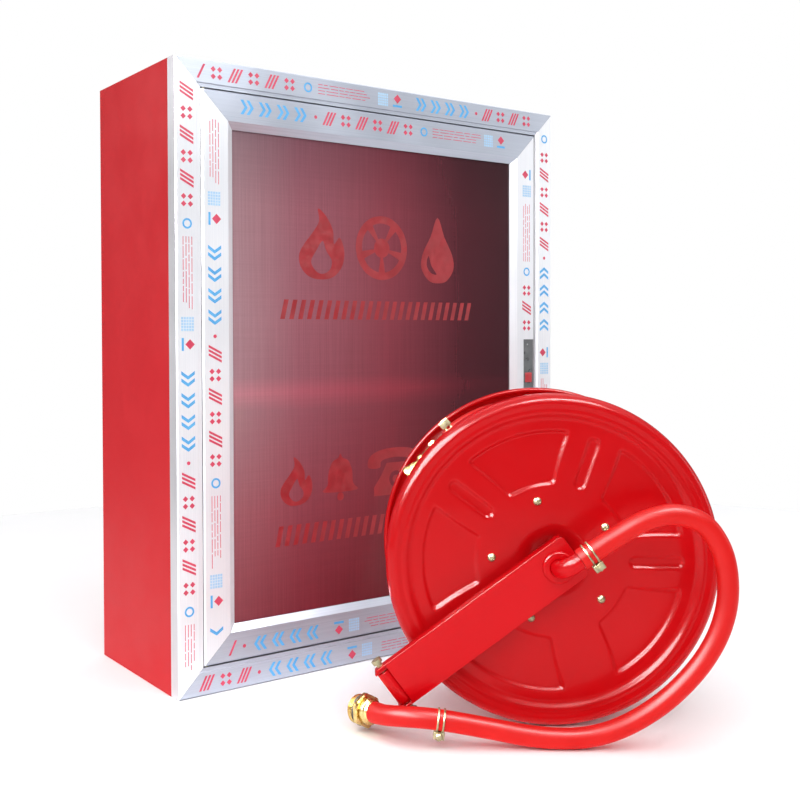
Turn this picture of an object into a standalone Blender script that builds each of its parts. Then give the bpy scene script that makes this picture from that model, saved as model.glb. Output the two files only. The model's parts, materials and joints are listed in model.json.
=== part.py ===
"""Glazed standpipe cabinet with its swing-arm hose reel standing in front of it.

Metres, +Z up, the door faces -Y. The origin is the centre of the cabinet's underside.
The reel is modelled in a frame of its own (the empty "reel_frame"): its origin is the hub,
+X is to the right of somebody facing the disc, -Y points at that person, +Z is up.
"""

import math

import bmesh
import bpy
from mathutils import Matrix, Vector

# Cabinet
WIDTH, HEIGHT, DEPTH = 0.650, 0.800, 0.240
FRONT = -DEPTH / 2
BACK = DEPTH / 2
SHEET = 0.0012
WRAPPER_FLANGE = 0.022
GAP = 0.0003
BACK_HOLE_INSET = (0.070, 0.080)
PIPE_HOLE_RADIUS, PIPE_HOLE_X, PIPE_HOLE_Z = 0.038, 0.205, 0.110
SHELF_TOP, SHELF_FRONT, SHELF_LIP = 0.385, FRONT + 0.062, 0.018

# Aluminium sections, as (distance in from the outer edge, depth behind the face)
FRAME_DEPTH, FRAME_FACE, FRAME_LIP_DEPTH = 0.021, 0.035, 0.009
DOOR_GAP, DOOR_DEPTH, DOOR_FLAT, DOOR_FACE = 0.0015, 0.024, 0.037, 0.0464
WALL = 0.0016
BEVEL_DEPTH = 0.007
DOOR_INSET = FRAME_FACE + DOOR_GAP
DOOR_WIDTH, DOOR_HEIGHT = WIDTH - 2 * DOOR_INSET, HEIGHT - 2 * DOOR_INSET
DOOR_BOTTOM = DOOR_INSET
FRAME_SECTION = [
    (0, FRAME_DEPTH), (0, 0.0015), (0.0015, 0), (0.0295, 0), (0.0303, 0.0012),
    (FRAME_FACE, 0.0012), (FRAME_FACE, FRAME_LIP_DEPTH), (FRAME_FACE - WALL, FRAME_LIP_DEPTH),
    (FRAME_FACE - WALL, 0.0028), (0.0290, 0.0028), (0.0285, WALL), (WALL, WALL),
    (WALL, FRAME_DEPTH),
]
DOOR_SECTION = [
    (0, DOOR_DEPTH), (0, 0.002), (0.002, 0), (DOOR_FLAT, 0), (DOOR_FACE, BEVEL_DEPTH),
    (DOOR_FACE, BEVEL_DEPTH + WALL), (DOOR_FLAT + WALL, 0.0030), (DOOR_FLAT + WALL, DOOR_DEPTH),
    (DOOR_FLAT, DOOR_DEPTH), (DOOR_FLAT, WALL), (WALL, WALL), (WALL, DOOR_DEPTH),
]
GLASS_EDGE, GLASS_FRONT, GLASS_THICK = DOOR_FLAT + WALL + 0.0006, 0.0090, 0.004
GASKET_WIDTH, GASKET_THICK = 0.007, 0.005

# Door pivots and lock
PIVOT_IN, PIVOT_BACK, PIVOT_RADIUS, PIVOT_CLEAR = 0.005, 0.005, 0.002, 0.0003
PIVOT_X = -WIDTH / 2 + DOOR_INSET + PIVOT_IN
PIVOT_Y = FRONT + PIVOT_BACK
LOCK_Z = 0.388
LOCK_X = WIDTH / 2 - DOOR_INSET - 0.0128
PLATE_SIZE = (0.0206, 0.118)
BUTTON_SIZE = (0.0130, 0.0150)
CASE_SIZE, CASE_FRONT, CASE_BACK = (0.0240, 0.096), 0.0026, 0.0200
BOLT_FRONT, BOLT_THICK, BOLT_HEIGHT, BOLT_OUT, BOLT_IN = 0.0125, 0.005, 0.020, 0.0058, 0.0130
BOLT_Z = LOCK_Z + 0.026

# Reel
REEL_TURN = math.radians(-36)
RIM = 0.193
HUB = Vector((-0.010, -0.4505, RIM + 0.0005))
SPOOL = 0.146
DISC_SHEET = 0.0015
DISC_FACE = 0.0010
DRUM_RADIUS, DRUM_SHEET, HUB_HOLE = 0.095, 0.0015, 0.0222
WOUND_RADIUS = 0.158
SCREW_CIRCLE, SCREW_COUNT, SCREW_START = 0.071, 5, math.radians(105)
SPINDLE_RADIUS = 0.012
ARM_ANGLE = math.radians(216.5)
ARM_WIDTH, ARM_TAIL, ARM_REACH, PLATE_END = 0.054, 0.024, 0.235, 0.2225
BRACKET_BACK = 0.008
ARM_FRONT, ARM_BACK, ARM_SHEET = 0.036, 0.020, 0.0025
PIN_ALONG, PIN_DEPTH, PIN_RADIUS = 0.229, 0.0268, 0.0035
KNUCKLE_HALF = 0.0200
ELBOW_RADIUS, ELBOW_DEPTH, ELBOW_OUT, ELBOW_BEND = 0.0100, 0.062, 0.0235, 0.018
ELBOW_ANGLE = math.radians(34.5)
HOSE_RADIUS = 0.0115
# Inlet hose: (right, towards the viewer, up) from the hub, in metres
HOSE_ROUTE = [
    (0.0197, 0.0620, 0.0135), (0.0375, 0.0621, 0.0257), (0.0610, 0.0628, 0.0410),
    (0.0890, 0.0650, 0.0573), (0.1192, 0.0675, 0.0645), (0.1491, 0.0690, 0.0557),
    (0.1673, 0.0690, 0.0327), (0.1762, 0.0688, 0.0040), (0.1772, 0.0683, -0.0290),
    (0.1700, 0.0675, -0.0610), (0.1550, 0.0668, -0.0910), (0.1340, 0.0662, -0.1180),
    (0.1080, 0.0655, -0.1425), (0.0780, 0.0650, -0.1625), (0.0480, 0.0650, -0.1755),
    (0.0180, 0.0648, -0.1816), (-0.0130, 0.0645, -0.1820), (-0.0420, 0.0640, -0.1790),
    (-0.0700, 0.0635, -0.1740), (-0.0980, 0.0630, -0.1690), (-0.1250, 0.0627, -0.1645),
    (-0.1460, 0.0615, -0.1620), (-0.1650, 0.0585, -0.1615), (-0.1810, 0.0510, -0.1632),
    (-0.1955, 0.0390, -0.1662), (-0.2070, 0.0258, -0.1680),
]
HOSE_SPACING = 0.012
CLAMP_RADIUS, CLAMP_WIDTH = 0.0142, 0.0130
NOZZLE_START, NOZZLE_END, NOZZLE_DEPTH = (-0.1185, 0.1395), (-0.1655, 0.0940), -0.0265
TAIL_ROUTE = [(-0.0935, 0.1590), (-0.0755, 0.1668), (-0.0610, 0.1703), (-0.0460, 0.1717),
              (-0.0310, 0.1718), (-0.0160, 0.1706)]
TURN_STEPS = 40

RED = (0.62, 0.025, 0.030)
PARTS = bpy.data.collections.new("standpipe_cabinet")
CUTTERS = bpy.data.collections.new("cutters")


def start_scene():
    for obj in list(bpy.data.objects):
        bpy.data.objects.remove(obj)
    for collection in (PARTS, CUTTERS):
        bpy.context.scene.collection.children.link(collection)
    reel_frame = bpy.data.objects.new("reel_frame", None)
    reel_frame.location = HUB
    reel_frame.rotation_euler = (0, 0, REEL_TURN)
    PARTS.objects.link(reel_frame)
    return reel_frame


def material(name, color, roughness, metallic=0.0, alpha=1.0):
    made = bpy.data.materials.get(name)
    if made is None:
        made = bpy.data.materials.new(name)
        made.use_nodes = True
        shader = made.node_tree.nodes["Principled BSDF"]
        shader.inputs["Base Color"].default_value = (*color, 1)
        shader.inputs["Roughness"].default_value = roughness
        shader.inputs["Metallic"].default_value = metallic
        shader.inputs["Alpha"].default_value = alpha
        made.diffuse_color = (*color, 1)
    return made


def red_coat():
    return material("red_powder_coat", RED, 0.45)


def red_gloss():
    return material("red_gloss_paint", (0.66, 0.012, 0.015), 0.22)


def aluminium():
    return material("aluminium", (0.74, 0.75, 0.78), 0.38, 0.9)


def zinc():
    return material("zinc_plate", (0.62, 0.56, 0.38), 0.35, 1.0)


def brass():
    return material("brass", (0.72, 0.52, 0.22), 0.28, 1.0)


def rubber(color=(0.70, 0.015, 0.018), name="red_rubber"):
    return material(name, color, 0.35)


def black_rubber():
    return rubber((0.02, 0.02, 0.02), "black_rubber")


def place(name, mesh, finish, collection=PARTS, parent=None, location=(0, 0, 0), turn=(0, 0, 0)):
    """Puts a mesh or a curve in the scene as one named object."""
    obj = bpy.data.objects.new(name, mesh)
    obj.location = location
    obj.rotation_euler = turn
    obj.parent = parent
    if finish:
        mesh.materials.append(finish)
    collection.objects.link(obj)
    return obj


def to_mesh(name, bm):
    mesh = bpy.data.meshes.new(name)
    bmesh.ops.recalc_face_normals(bm, faces=bm.faces)
    bm.to_mesh(mesh)
    bm.free()
    return mesh


def block_mesh(name, low, high):
    bm = bmesh.new()
    bmesh.ops.create_cube(bm, size=1)
    size = [h - l for l, h in zip(low, high)]
    middle = [(h + l) / 2 for l, h in zip(low, high)]
    bmesh.ops.scale(bm, vec=size, verts=bm.verts)
    bmesh.ops.translate(bm, vec=middle, verts=bm.verts)
    return to_mesh(name, bm)


def block(name, low, high, finish, **where):
    return place(name, block_mesh(name, low, high), finish, **where)


def rod_mesh(name, start, end, radius, sides=20):
    """A cylinder from start to end."""
    start, end = Vector(start), Vector(end)
    bm = bmesh.new()
    bmesh.ops.create_cone(
        bm, cap_ends=True, segments=sides, radius1=radius, radius2=radius,
        depth=(end - start).length,
    )
    aim = (end - start).to_track_quat("Z", "Y").to_matrix().to_4x4()
    bmesh.ops.transform(bm, matrix=Matrix.Translation((start + end) / 2) @ aim, verts=bm.verts)
    return to_mesh(name, bm)


def nut(name, start, end, radius, bore, finish, parent):
    """A hexagonal nut between two points, with a round bore."""
    body = place(name, rod_mesh(name, start, end, radius, 6), finish, parent=parent)
    over = (Vector(end) - Vector(start)) * 0.2
    hole = rod_mesh("hole", Vector(start) - over, Vector(end) + over, bore, 24)
    cut(body, cutter(name + "_bore", [hole], parent))


def cutter(name, meshes, parent=None):
    """Joins several closed meshes, which don't touch, into one hidden tool for a Boolean."""
    bm = bmesh.new()
    for mesh in meshes:
        bm.from_mesh(mesh)
    obj = place(name, to_mesh(name, bm), None, CUTTERS, parent)
    obj.hide_render = True
    obj.display_type = "WIRE"
    return obj


def cut(obj, tool):
    step = obj.modifiers.new("cut_" + tool.name, "BOOLEAN")
    step.operation = "DIFFERENCE"
    step.solver = "EXACT"
    step.object = tool


def turned(name, profile, finish, steps=TURN_STEPS, closed=True, aim=(0, -1, 0), at=(0, 0, 0), parent=None):
    """Turns a profile of (radius, height) about an axis that points along aim."""
    mesh = bpy.data.meshes.new(name)
    count = len(profile)
    edges = [(i, i + 1) for i in range(count - 1)] + ([(count - 1, 0)] if closed else [])
    mesh.from_pydata([(r, 0, h) for r, h in profile], edges, [])
    obj = place(name, mesh, finish, parent=parent, location=at)
    obj.rotation_euler = Vector(aim).to_track_quat("Z", "Y").to_euler()
    screw = obj.modifiers.new("turn", "SCREW")
    screw.axis = "Z"
    screw.angle = 2 * math.pi
    screw.steps = screw.render_steps = steps
    screw.use_merge_vertices = True
    screw.merge_threshold = 0.00001
    screw.use_smooth_shade = True
    return obj


def mitred_bar(name, section, length, finish, turn, location):
    """A section drawn along +X between two mitred ends, its outer edge on Z = 0 and its inside above."""
    half_joint = GAP / 2
    bm = bmesh.new()
    ring = [bm.verts.new((u + half_joint, v, u)) for u, v in section]
    face = bm.faces.new(ring)
    drawn = bmesh.ops.extrude_face_region(bm, geom=[face], use_keep_orig=True)
    for vert in (item for item in drawn["geom"] if isinstance(item, bmesh.types.BMVert)):
        vert.co.x = length - vert.co.x
    return place(name, to_mesh(name, bm), finish, location=location, turn=turn)


def mitred_ring(prefix, words, section, width, height, bottom, finish):
    """Four mitred bars round an opening, whose outer faces are width by height, on the front plane."""
    left, top = -width / 2, bottom + height
    sides = [
        ("bottom", width, (0, 0, 0), (left, FRONT, bottom)),
        ("right", height, (0, -math.pi / 2, 0), (-left, FRONT, bottom)),
        ("top", width, (0, math.pi, 0), (-left, FRONT, top)),
        ("left", height, (0, math.pi / 2, 0), (left, FRONT, top)),
    ]
    return {
        side: mitred_bar(f"{prefix}_{words[side]}", section, length, finish, turn, place_at)
        for side, length, turn, place_at in sides
    }


def flat_outline(name, points, half_thickness, finish, **where):
    """An outline in X and Z, made thick along Y, as a mesh."""
    curve = bpy.data.curves.new(name, "CURVE")
    curve.dimensions = "2D"
    curve.fill_mode = "BOTH"
    curve.extrude = half_thickness
    for outline in points:
        spline = curve.splines.new("POLY")
        spline.points.add(len(outline) - 1)
        spline.use_cyclic_u = True
        for point, (x, z) in zip(spline.points, outline):
            point.co = (x, z, 0, 1)
    obj = place(name, curve, None, CUTTERS)
    mesh = meshed(obj, name)
    upright = Matrix.Rotation(math.pi / 2, 4, "X")
    mesh.transform(upright)
    return place(name, mesh, finish, **where)


def meshed(curve_obj, name):
    """The welded mesh of a curve object, which is removed."""
    bpy.context.view_layer.update()
    graph = bpy.context.evaluated_depsgraph_get()
    mesh = bpy.data.meshes.new_from_object(curve_obj.evaluated_get(graph))
    bpy.data.objects.remove(curve_obj)
    bm = bmesh.new()
    bm.from_mesh(mesh)
    bmesh.ops.remove_doubles(bm, verts=bm.verts, dist=0.00001)
    bmesh.ops.recalc_face_normals(bm, faces=bm.faces)
    bm.to_mesh(mesh)
    bm.free()
    mesh.name = name
    return mesh


def tube(name, points, radius, finish, resolution=3, parent=None):
    curve = bpy.data.curves.new(name, "CURVE")
    curve.dimensions = "3D"
    curve.bevel_depth = radius
    curve.bevel_resolution = resolution
    curve.use_fill_caps = True
    spline = curve.splines.new("POLY")
    spline.points.add(len(points) - 1)
    for point, place_at in zip(spline.points, points):
        point.co = (*place_at, 1)
    return place(name, curve, finish, parent=parent)


def smooth_route(knots, spacing):
    """Points about one spacing apart on a smooth curve through the knots (Catmull-Rom)."""
    ends = [2 * knots[0] - knots[1]] + knots + [2 * knots[-1] - knots[-2]]
    route = []
    for before, start, end, after in zip(ends, ends[1:], ends[2:], ends[3:]):
        pieces = max(1, round((end - start).length / spacing))
        for step in range(pieces):
            t = step / pieces
            route.append(
                0.5 * (2 * start + (end - before) * t
                       + (2 * before - 5 * start + 4 * end - after) * t * t
                       + (3 * start - before - 3 * end + after) * t ** 3)
            )
    return route + [knots[-1]]


def reel_point(right, front, up):
    """A place in the reel's own frame, given by its distance towards the viewer."""
    return Vector((right, -front, up))


def along_arm(along, across, front):
    """A place on the swing arm: along it from the hub, across it, and in front of the disc."""
    direction = Vector((math.cos(ARM_ANGLE), math.sin(ARM_ANGLE)))
    side = Vector((-direction.y, direction.x))
    flat = direction * along + side * across
    return reel_point(flat.x, front, flat.y)


# ---- Cabinet ------------------------------------------------------------------------------


def make_wrapper():
    """The folded steel box: four walls, open at the back, with a flange turned in at the front."""
    half, inner = WIDTH / 2, WIDTH / 2 - WRAPPER_FLANGE
    front = FRONT + FRAME_DEPTH + GAP
    rings = [(half, 0, BACK), (half, 0, front), (inner, WRAPPER_FLANGE, front)]
    bm = bmesh.new()
    corners = []
    for reach, inset, depth in rings:
        corners.append([
            bm.verts.new(place_at)
            for place_at in (
                (-reach, depth, inset), (reach, depth, inset),
                (reach, depth, HEIGHT - inset), (-reach, depth, HEIGHT - inset),
            )
        ])
    for outer, inner_ring in zip(corners, corners[1:]):
        for i in range(4):
            j = (i + 1) % 4
            bm.faces.new((outer[i], outer[j], inner_ring[j], inner_ring[i]))
    for face in bm.faces:
        outwards = face.calc_center_median() - Vector((0, 0.3, HEIGHT / 2))
        if face.normal.dot(outwards) < 0:
            face.normal_flip()
    mesh = bpy.data.meshes.new("cabinet_wrapper")
    bm.normal_update()
    bm.to_mesh(mesh)
    bm.free()
    obj = place("cabinet_wrapper", mesh, red_coat())
    shell = obj.modifiers.new("sheet", "SOLIDIFY")
    shell.thickness = SHEET
    shell.offset = -1
    shell.use_even_offset = True
    return obj


def make_back_and_shelf():
    edge = SHEET + GAP
    back = block(
        "back_panel", (-WIDTH / 2 + edge, BACK - SHEET, edge),
        (WIDTH / 2 - edge, BACK, HEIGHT - edge), red_coat(),
    )
    inset_x, inset_z = BACK_HOLE_INSET
    holes = [
        rod_mesh("hole", (x, BACK - 0.01, z), (x, BACK + 0.01, z), 0.0045, 16)
        for x in (-WIDTH / 2 + inset_x, WIDTH / 2 - inset_x)
        for z in (inset_z, HEIGHT - inset_z)
    ]
    pipe = ((PIPE_HOLE_X, BACK - 0.01, PIPE_HOLE_Z), (PIPE_HOLE_X, BACK + 0.01, PIPE_HOLE_Z))
    holes.append(rod_mesh("hole", *pipe, PIPE_HOLE_RADIUS, 32))
    cut(back, cutter("back_holes", holes))
    outer, bore, lip = PIPE_HOLE_RADIUS - GAP, PIPE_HOLE_RADIUS - 0.005, PIPE_HOLE_RADIUS + 0.004
    turned(
        "pipe_grommet",
        [(bore, 0.0055), (outer - 0.001, 0.0055), (lip, 0.0045), (lip, 0.0015), (outer, 0.0015),
         (outer, 0), (bore, 0)],
        black_rubber(), 24, aim=(0, -1, 0), at=(PIPE_HOLE_X, BACK, PIPE_HOLE_Z),
    )
    side = WIDTH / 2 - SHEET - 0.0012
    shelf_back = BACK - SHEET - GAP
    outline = bpy.data.meshes.new("shelf")
    outline.from_pydata(
        [(-side, shelf_back, SHELF_TOP), (side, shelf_back, SHELF_TOP),
         (side, SHELF_FRONT, SHELF_TOP), (-side, SHELF_FRONT, SHELF_TOP),
         (side, SHELF_FRONT, SHELF_TOP - SHELF_LIP), (-side, SHELF_FRONT, SHELF_TOP - SHELF_LIP)],
        [], [(3, 2, 1, 0), (5, 4, 2, 3)],
    )
    shelf = place("shelf", outline, red_coat())
    sheet = shelf.modifiers.new("sheet", "SOLIDIFY")
    sheet.thickness = SHEET
    sheet.offset = -1
    sheet.use_even_offset = True
    for name, sign in (("shelf_angle_left", -1), ("shelf_angle_right", 1)):
        wall, reach = sign * (WIDTH / 2 - SHEET - GAP), 0.018 * sign
        top = SHELF_TOP - SHEET - GAP
        angle = bpy.data.meshes.new(name)
        front, back_end = SHELF_FRONT + 0.006, shelf_back - 0.004
        angle.from_pydata(
            [(wall, front, top - 0.018), (wall, back_end, top - 0.018), (wall, front, top),
             (wall, back_end, top), (wall - reach, front, top), (wall - reach, back_end, top)],
            [], [(0, 1, 3, 2), (2, 3, 5, 4)],
        )
        obj = place(name, angle, red_coat())
        shell = obj.modifiers.new("sheet", "SOLIDIFY")
        shell.thickness = 0.0015
        shell.offset = 1 if sign < 0 else -1
        shell.use_even_offset = True


def pivot_parts(name, top):
    """One door pivot: a pin through the frame's lip, and its block inside the door's corner."""
    up = 1 if top else -1
    door_edge = HEIGHT - DOOR_INSET if top else DOOR_INSET

    def level(distance):
        return door_edge + up * distance

    turned(
        "pivot_pin_" + name,
        [(0, 0.0090), (PIVOT_RADIUS, 0.0090), (PIVOT_RADIUS, -0.0085),
         (PIVOT_RADIUS - 0.0008, -0.0095), (0, -0.0095)],
        zinc(), 16, closed=False, aim=(0, 0, up), at=(PIVOT_X, PIVOT_Y, door_edge),
    )
    hole = cutter(
        "pivot_hole_" + name,
        [rod_mesh("hole", (PIVOT_X, PIVOT_Y, level(-0.011)), (PIVOT_X, PIVOT_Y, level(0.0045)),
                  PIVOT_RADIUS + PIVOT_CLEAR, 16)],
    )
    ends = sorted((level(-WALL - GAP), level(-0.0150)))
    body = block(
        "pivot_block_" + name,
        (PIVOT_X - PIVOT_IN + 0.0020, PIVOT_Y - 0.0031, ends[0]),
        (PIVOT_X + 0.0160, PIVOT_Y + 0.0048, ends[1]),
        zinc(),
    )
    cut(body, hole)
    return hole


def corner_key(name, corner_x, corner_z, sign_x, sign_z):
    """An L-shaped key in the hollow of two mitred bars of the door."""
    near, far, leg = 0.0060, 0.0330, 0.0560
    outline = [(near, near), (leg, near), (leg, far), (far, far), (far, leg), (near, leg)]
    points = [(corner_x + sign_x * x, corner_z + sign_z * z) for x, z in outline]
    if sign_x * sign_z < 0:
        points.reverse()
    flat_outline(name, [points], 0.0040, aluminium(), location=(0, FRONT + 0.0165, 0))


def make_door():
    words = {"bottom": "rail_bottom", "top": "rail_top", "left": "stile_left", "right": "stile_right"}
    bars = mitred_ring("door", words, DOOR_SECTION, DOOR_WIDTH, DOOR_HEIGHT, DOOR_BOTTOM, aluminium())
    left, right = -DOOR_WIDTH / 2, DOOR_WIDTH / 2
    bottom, top = DOOR_BOTTOM, DOOR_BOTTOM + DOOR_HEIGHT
    edge = GLASS_EDGE
    pane_front = FRONT + GLASS_FRONT
    block(
        "glass_pane", (left + edge, pane_front, bottom + edge),
        (right - edge, pane_front + GLASS_THICK, top - edge),
        material("tinted_glass", (0.16, 0.03, 0.05), 0.08, alpha=0.6),
    )
    outer = [(left + edge, bottom + edge), (right - edge, bottom + edge),
             (right - edge, top - edge), (left + edge, top - edge)]
    inner = [(x + math.copysign(GASKET_WIDTH, -x), z + (GASKET_WIDTH if z < HEIGHT / 2 else -GASKET_WIDTH))
             for x, z in outer]
    flat_outline(
        "glass_gasket", [outer, inner], GASKET_THICK / 2, black_rubber(),
        location=(0, pane_front + GLASS_THICK + GAP + GASKET_THICK / 2, 0),
    )
    for name, x, z, sign_x, sign_z in (
        ("door_key_bottom_left", left, bottom, 1, 1), ("door_key_bottom_right", right, bottom, -1, 1),
        ("door_key_top_left", left, top, 1, -1), ("door_key_top_right", right, top, -1, -1),
    ):
        corner_key(name, x, z, sign_x, sign_z)
    return bars


def make_lock(door_bars, frame_bars):
    """The lock in the right stile: faceplate, case, push button, bolt and strike."""
    edge = DOOR_WIDTH / 2
    half_plate, half_button = [s / 2 for s in PLATE_SIZE], [s / 2 for s in BUTTON_SIZE]
    slot = block_mesh(
        "slot", (LOCK_X - half_plate[0] - GAP, FRONT - 0.002, LOCK_Z - half_plate[1] - GAP),
        (LOCK_X + half_plate[0] + GAP, FRONT + 0.0024, LOCK_Z + half_plate[1] + GAP),
    )
    bolt_way = block_mesh(
        "way", (edge - BOLT_IN - 0.010, FRONT + BOLT_FRONT - GAP, BOLT_Z - BOLT_HEIGHT / 2 - GAP),
        (edge + 0.003, FRONT + BOLT_FRONT + BOLT_THICK + GAP, BOLT_Z + BOLT_HEIGHT / 2 + GAP),
    )
    cut(door_bars["right"], cutter("lock_cutouts", [slot, bolt_way]))
    plate = block(
        "lock_faceplate", (LOCK_X - half_plate[0], FRONT + 0.0008, LOCK_Z - half_plate[1]),
        (LOCK_X + half_plate[0], FRONT + 0.0022, LOCK_Z + half_plate[1]),
        material("lock_steel", (0.42, 0.43, 0.45), 0.35, 1.0),
    )
    way = GAP + 0.0001
    button_way = block_mesh(
        "button", (LOCK_X - half_button[0] - way, FRONT - 0.002, LOCK_Z - half_button[1] - way),
        (LOCK_X + half_button[0] + way, FRONT + 0.0112, LOCK_Z + half_button[1] + way),
    )
    tool = cutter("button_way", [button_way])
    cut(plate, tool)
    case = block(
        "lock_case", (LOCK_X - CASE_SIZE[0] / 2, FRONT + CASE_FRONT, LOCK_Z - CASE_SIZE[1] / 2),
        (edge - WALL - GAP, FRONT + CASE_BACK, LOCK_Z + CASE_SIZE[1] / 2),
        material("lock_steel", (0.42, 0.43, 0.45), 0.35, 1.0),
    )
    cut(case, tool)
    cut(case, cutter("bolt_way", [bolt_way.copy()]))
    block(
        "push_button", (LOCK_X - half_button[0], FRONT - 0.0012, LOCK_Z - half_button[1]),
        (LOCK_X + half_button[0], FRONT + 0.0060, LOCK_Z + half_button[1]),
        material("red_plastic", (0.60, 0.04, 0.03), 0.35),
    )
    block(
        "latch_bolt", (edge - BOLT_IN, FRONT + BOLT_FRONT, BOLT_Z - BOLT_HEIGHT / 2),
        (edge + BOLT_OUT, FRONT + BOLT_FRONT + BOLT_THICK, BOLT_Z + BOLT_HEIGHT / 2), zinc(),
    )
    strike_left = WIDTH / 2 - FRAME_FACE
    block(
        "strike_plate", (strike_left, FRONT + FRAME_LIP_DEPTH + GAP, BOLT_Z - 0.022),
        (strike_left + 0.014, FRONT + FRAME_LIP_DEPTH + 0.0018, BOLT_Z + 0.022),
        material("lock_steel", (0.42, 0.43, 0.45), 0.35, 1.0),
    )


def make_cabinet():
    make_wrapper()
    make_back_and_shelf()
    words = {side: side for side in ("bottom", "right", "top", "left")}
    frame_bars = mitred_ring("outer_frame", words, FRAME_SECTION, WIDTH, HEIGHT, 0, aluminium())
    door_bars = make_door()
    for name, top in (("upper", True), ("lower", False)):
        side = "top" if top else "bottom"
        hole = pivot_parts(name, top)
        cut(frame_bars[side], hole)
        cut(door_bars[side], hole)
    make_lock(door_bars, frame_bars)


# ---- Reel ---------------------------------------------------------------------------------


def disc_profile():
    """The pressed disc's sheet, from the hub hole out to the curled rim; its face is the front."""
    front = [
        (HUB_HOLE + 0.0006, DISC_FACE), (0.1630, DISC_FACE), (0.1665, 0.0022), (0.1710, 0.0052),
        (0.1755, 0.0060), (0.1810, 0.0064), (0.1865, 0.0048), (0.1905, 0.0008),
        (0.1925, -0.0045), (RIM, -0.0095), (0.1915, -0.0125),
    ]
    back = []
    bends = front[:3] + front[4::2]
    for (r0, a0), (r1, a1) in zip(bends, bends[1:]):
        slope = Vector((a1 - a0, r0 - r1)).normalized() * DISC_SHEET
        back.append(((r0 + r1) / 2 + slope.x, (a0 + a1) / 2 + slope.y))
    start = (HUB_HOLE + 0.0006, DISC_FACE - DISC_SHEET)
    end = (front[-1][0] - DISC_SHEET, front[-1][1] + 0.0004)
    return front + [end] + back[::-1][1:] + [start]


def make_reel_body(frame):
    """Everything that spins: two discs, drum, bushes, wound hose and screws."""
    around = [SCREW_START + i * 2 * math.pi / SCREW_COUNT for i in range(SCREW_COUNT)]
    spots = [(SCREW_CIRCLE * math.cos(a), SCREW_CIRCLE * math.sin(a)) for a in around]
    holes = cutter(
        "screw_holes",
        [rod_mesh("hole", (x, -0.012, z), (x, 0.012, z), 0.0028, 12) for x, z in spots], frame,
    )
    front_disc = turned("front_disc", disc_profile(), red_gloss(), parent=frame)
    rear_profile = [(r, -SPOOL - a) for r, a in disc_profile()][::-1]
    turned("rear_disc", rear_profile, red_gloss(), parent=frame)
    front_end, rear_end = DISC_FACE - DISC_SHEET - GAP, -SPOOL - DISC_FACE + DISC_SHEET + GAP
    wall = DRUM_SHEET
    drum = turned(
        "drum",
        [(HUB_HOLE, front_end), (DRUM_RADIUS, front_end), (DRUM_RADIUS, rear_end),
         (HUB_HOLE, rear_end), (HUB_HOLE, rear_end + wall), (DRUM_RADIUS - wall, rear_end + wall),
         (DRUM_RADIUS - wall, front_end - wall), (HUB_HOLE, front_end - wall)],
        red_gloss(), parent=frame,
    )
    cut(front_disc, holes)
    cut(drum, holes)
    bore, outer = SPINDLE_RADIUS + GAP, HUB_HOLE - GAP
    for name, start in (("hub_bush_front", front_end + 0.0030), ("hub_bush_rear", rear_end + 0.0120)):
        turned(
            name, [(bore, start), (outer, start), (outer, start - 0.0150), (bore, start - 0.0150)],
            material("bush_plastic", (0.85, 0.84, 0.78), 0.4), 24, parent=frame,
        )
    inner = DRUM_RADIUS + GAP
    turned(
        "wound_hose",
        [(inner, -0.0035), (WOUND_RADIUS - 0.006, -0.0035), (WOUND_RADIUS, -0.0090),
         (WOUND_RADIUS, -SPOOL + 0.0090), (WOUND_RADIUS - 0.006, -SPOOL + 0.0035),
         (inner, -SPOOL + 0.0035)],
        rubber(), parent=frame,
    )
    head = DISC_FACE + GAP
    for number, (x, z) in enumerate(spots, 1):
        turned(
            f"reel_screw_{number}",
            [(0, head + 0.0032), (0.0022, head + 0.0030), (0.0038, head + 0.0015), (0.0045, head),
             (0.0025, head), (0.0025, head - 0.0113), (0, head - 0.0113)],
            zinc(), 14, closed=False, at=(x, 0, z), parent=frame,
        )


def make_nozzle(frame):
    """The brass nozzle on the hose's free end, held between the discs at the rim."""
    start, end = (Vector((x, -NOZZLE_DEPTH, z)) for x, z in (NOZZLE_START, NOZZLE_END))
    aim = (end - start).normalized()
    length = (end - start).length
    body_end = length * 0.56

    def part(name, profile, finish, closed=True, steps=24):
        return turned(name, profile, finish, steps, closed, aim=aim, at=start, parent=frame)

    bore = 0.0040
    part(
        "nozzle_body",
        [(bore, body_end), (0.0075, body_end), (0.0085, body_end - 0.004), (0.0085, 0.0240),
         (0.0110, 0.0225), (0.0110, 0.0150), (0.0085, 0.0135), (0.0085, 0.0030),
         (0.0065, 0.0010), (bore, 0.0010)],
        brass(),
    )
    part(
        "nozzle_tip",
        [(0.0055, length), (0.0108, length), (0.0112, length - 0.003), (0.0068, length - 0.020),
         (0.0098, length - 0.024), (0.0098, body_end + GAP), (0.0055, body_end + GAP)],
        brass(),
    )
    hose_end = start + aim * (0.0010 - GAP)
    knots = [hose_end, hose_end - aim * 0.0155]
    knots += [Vector((x, -NOZZLE_DEPTH, z)) for x, z in TAIL_ROUTE]
    tube("hose_tail", smooth_route(knots, 0.008), 0.0100, rubber(), 2, frame)
    ring = hose_end - aim * 0.009
    turned(
        "nozzle_clamp",
        [(0.0106, 0.006), (0.0125, 0.006), (0.0125, -0.006), (0.0106, -0.006)], zinc(), 24,
        aim=aim, at=ring, parent=frame,
    )


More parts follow.
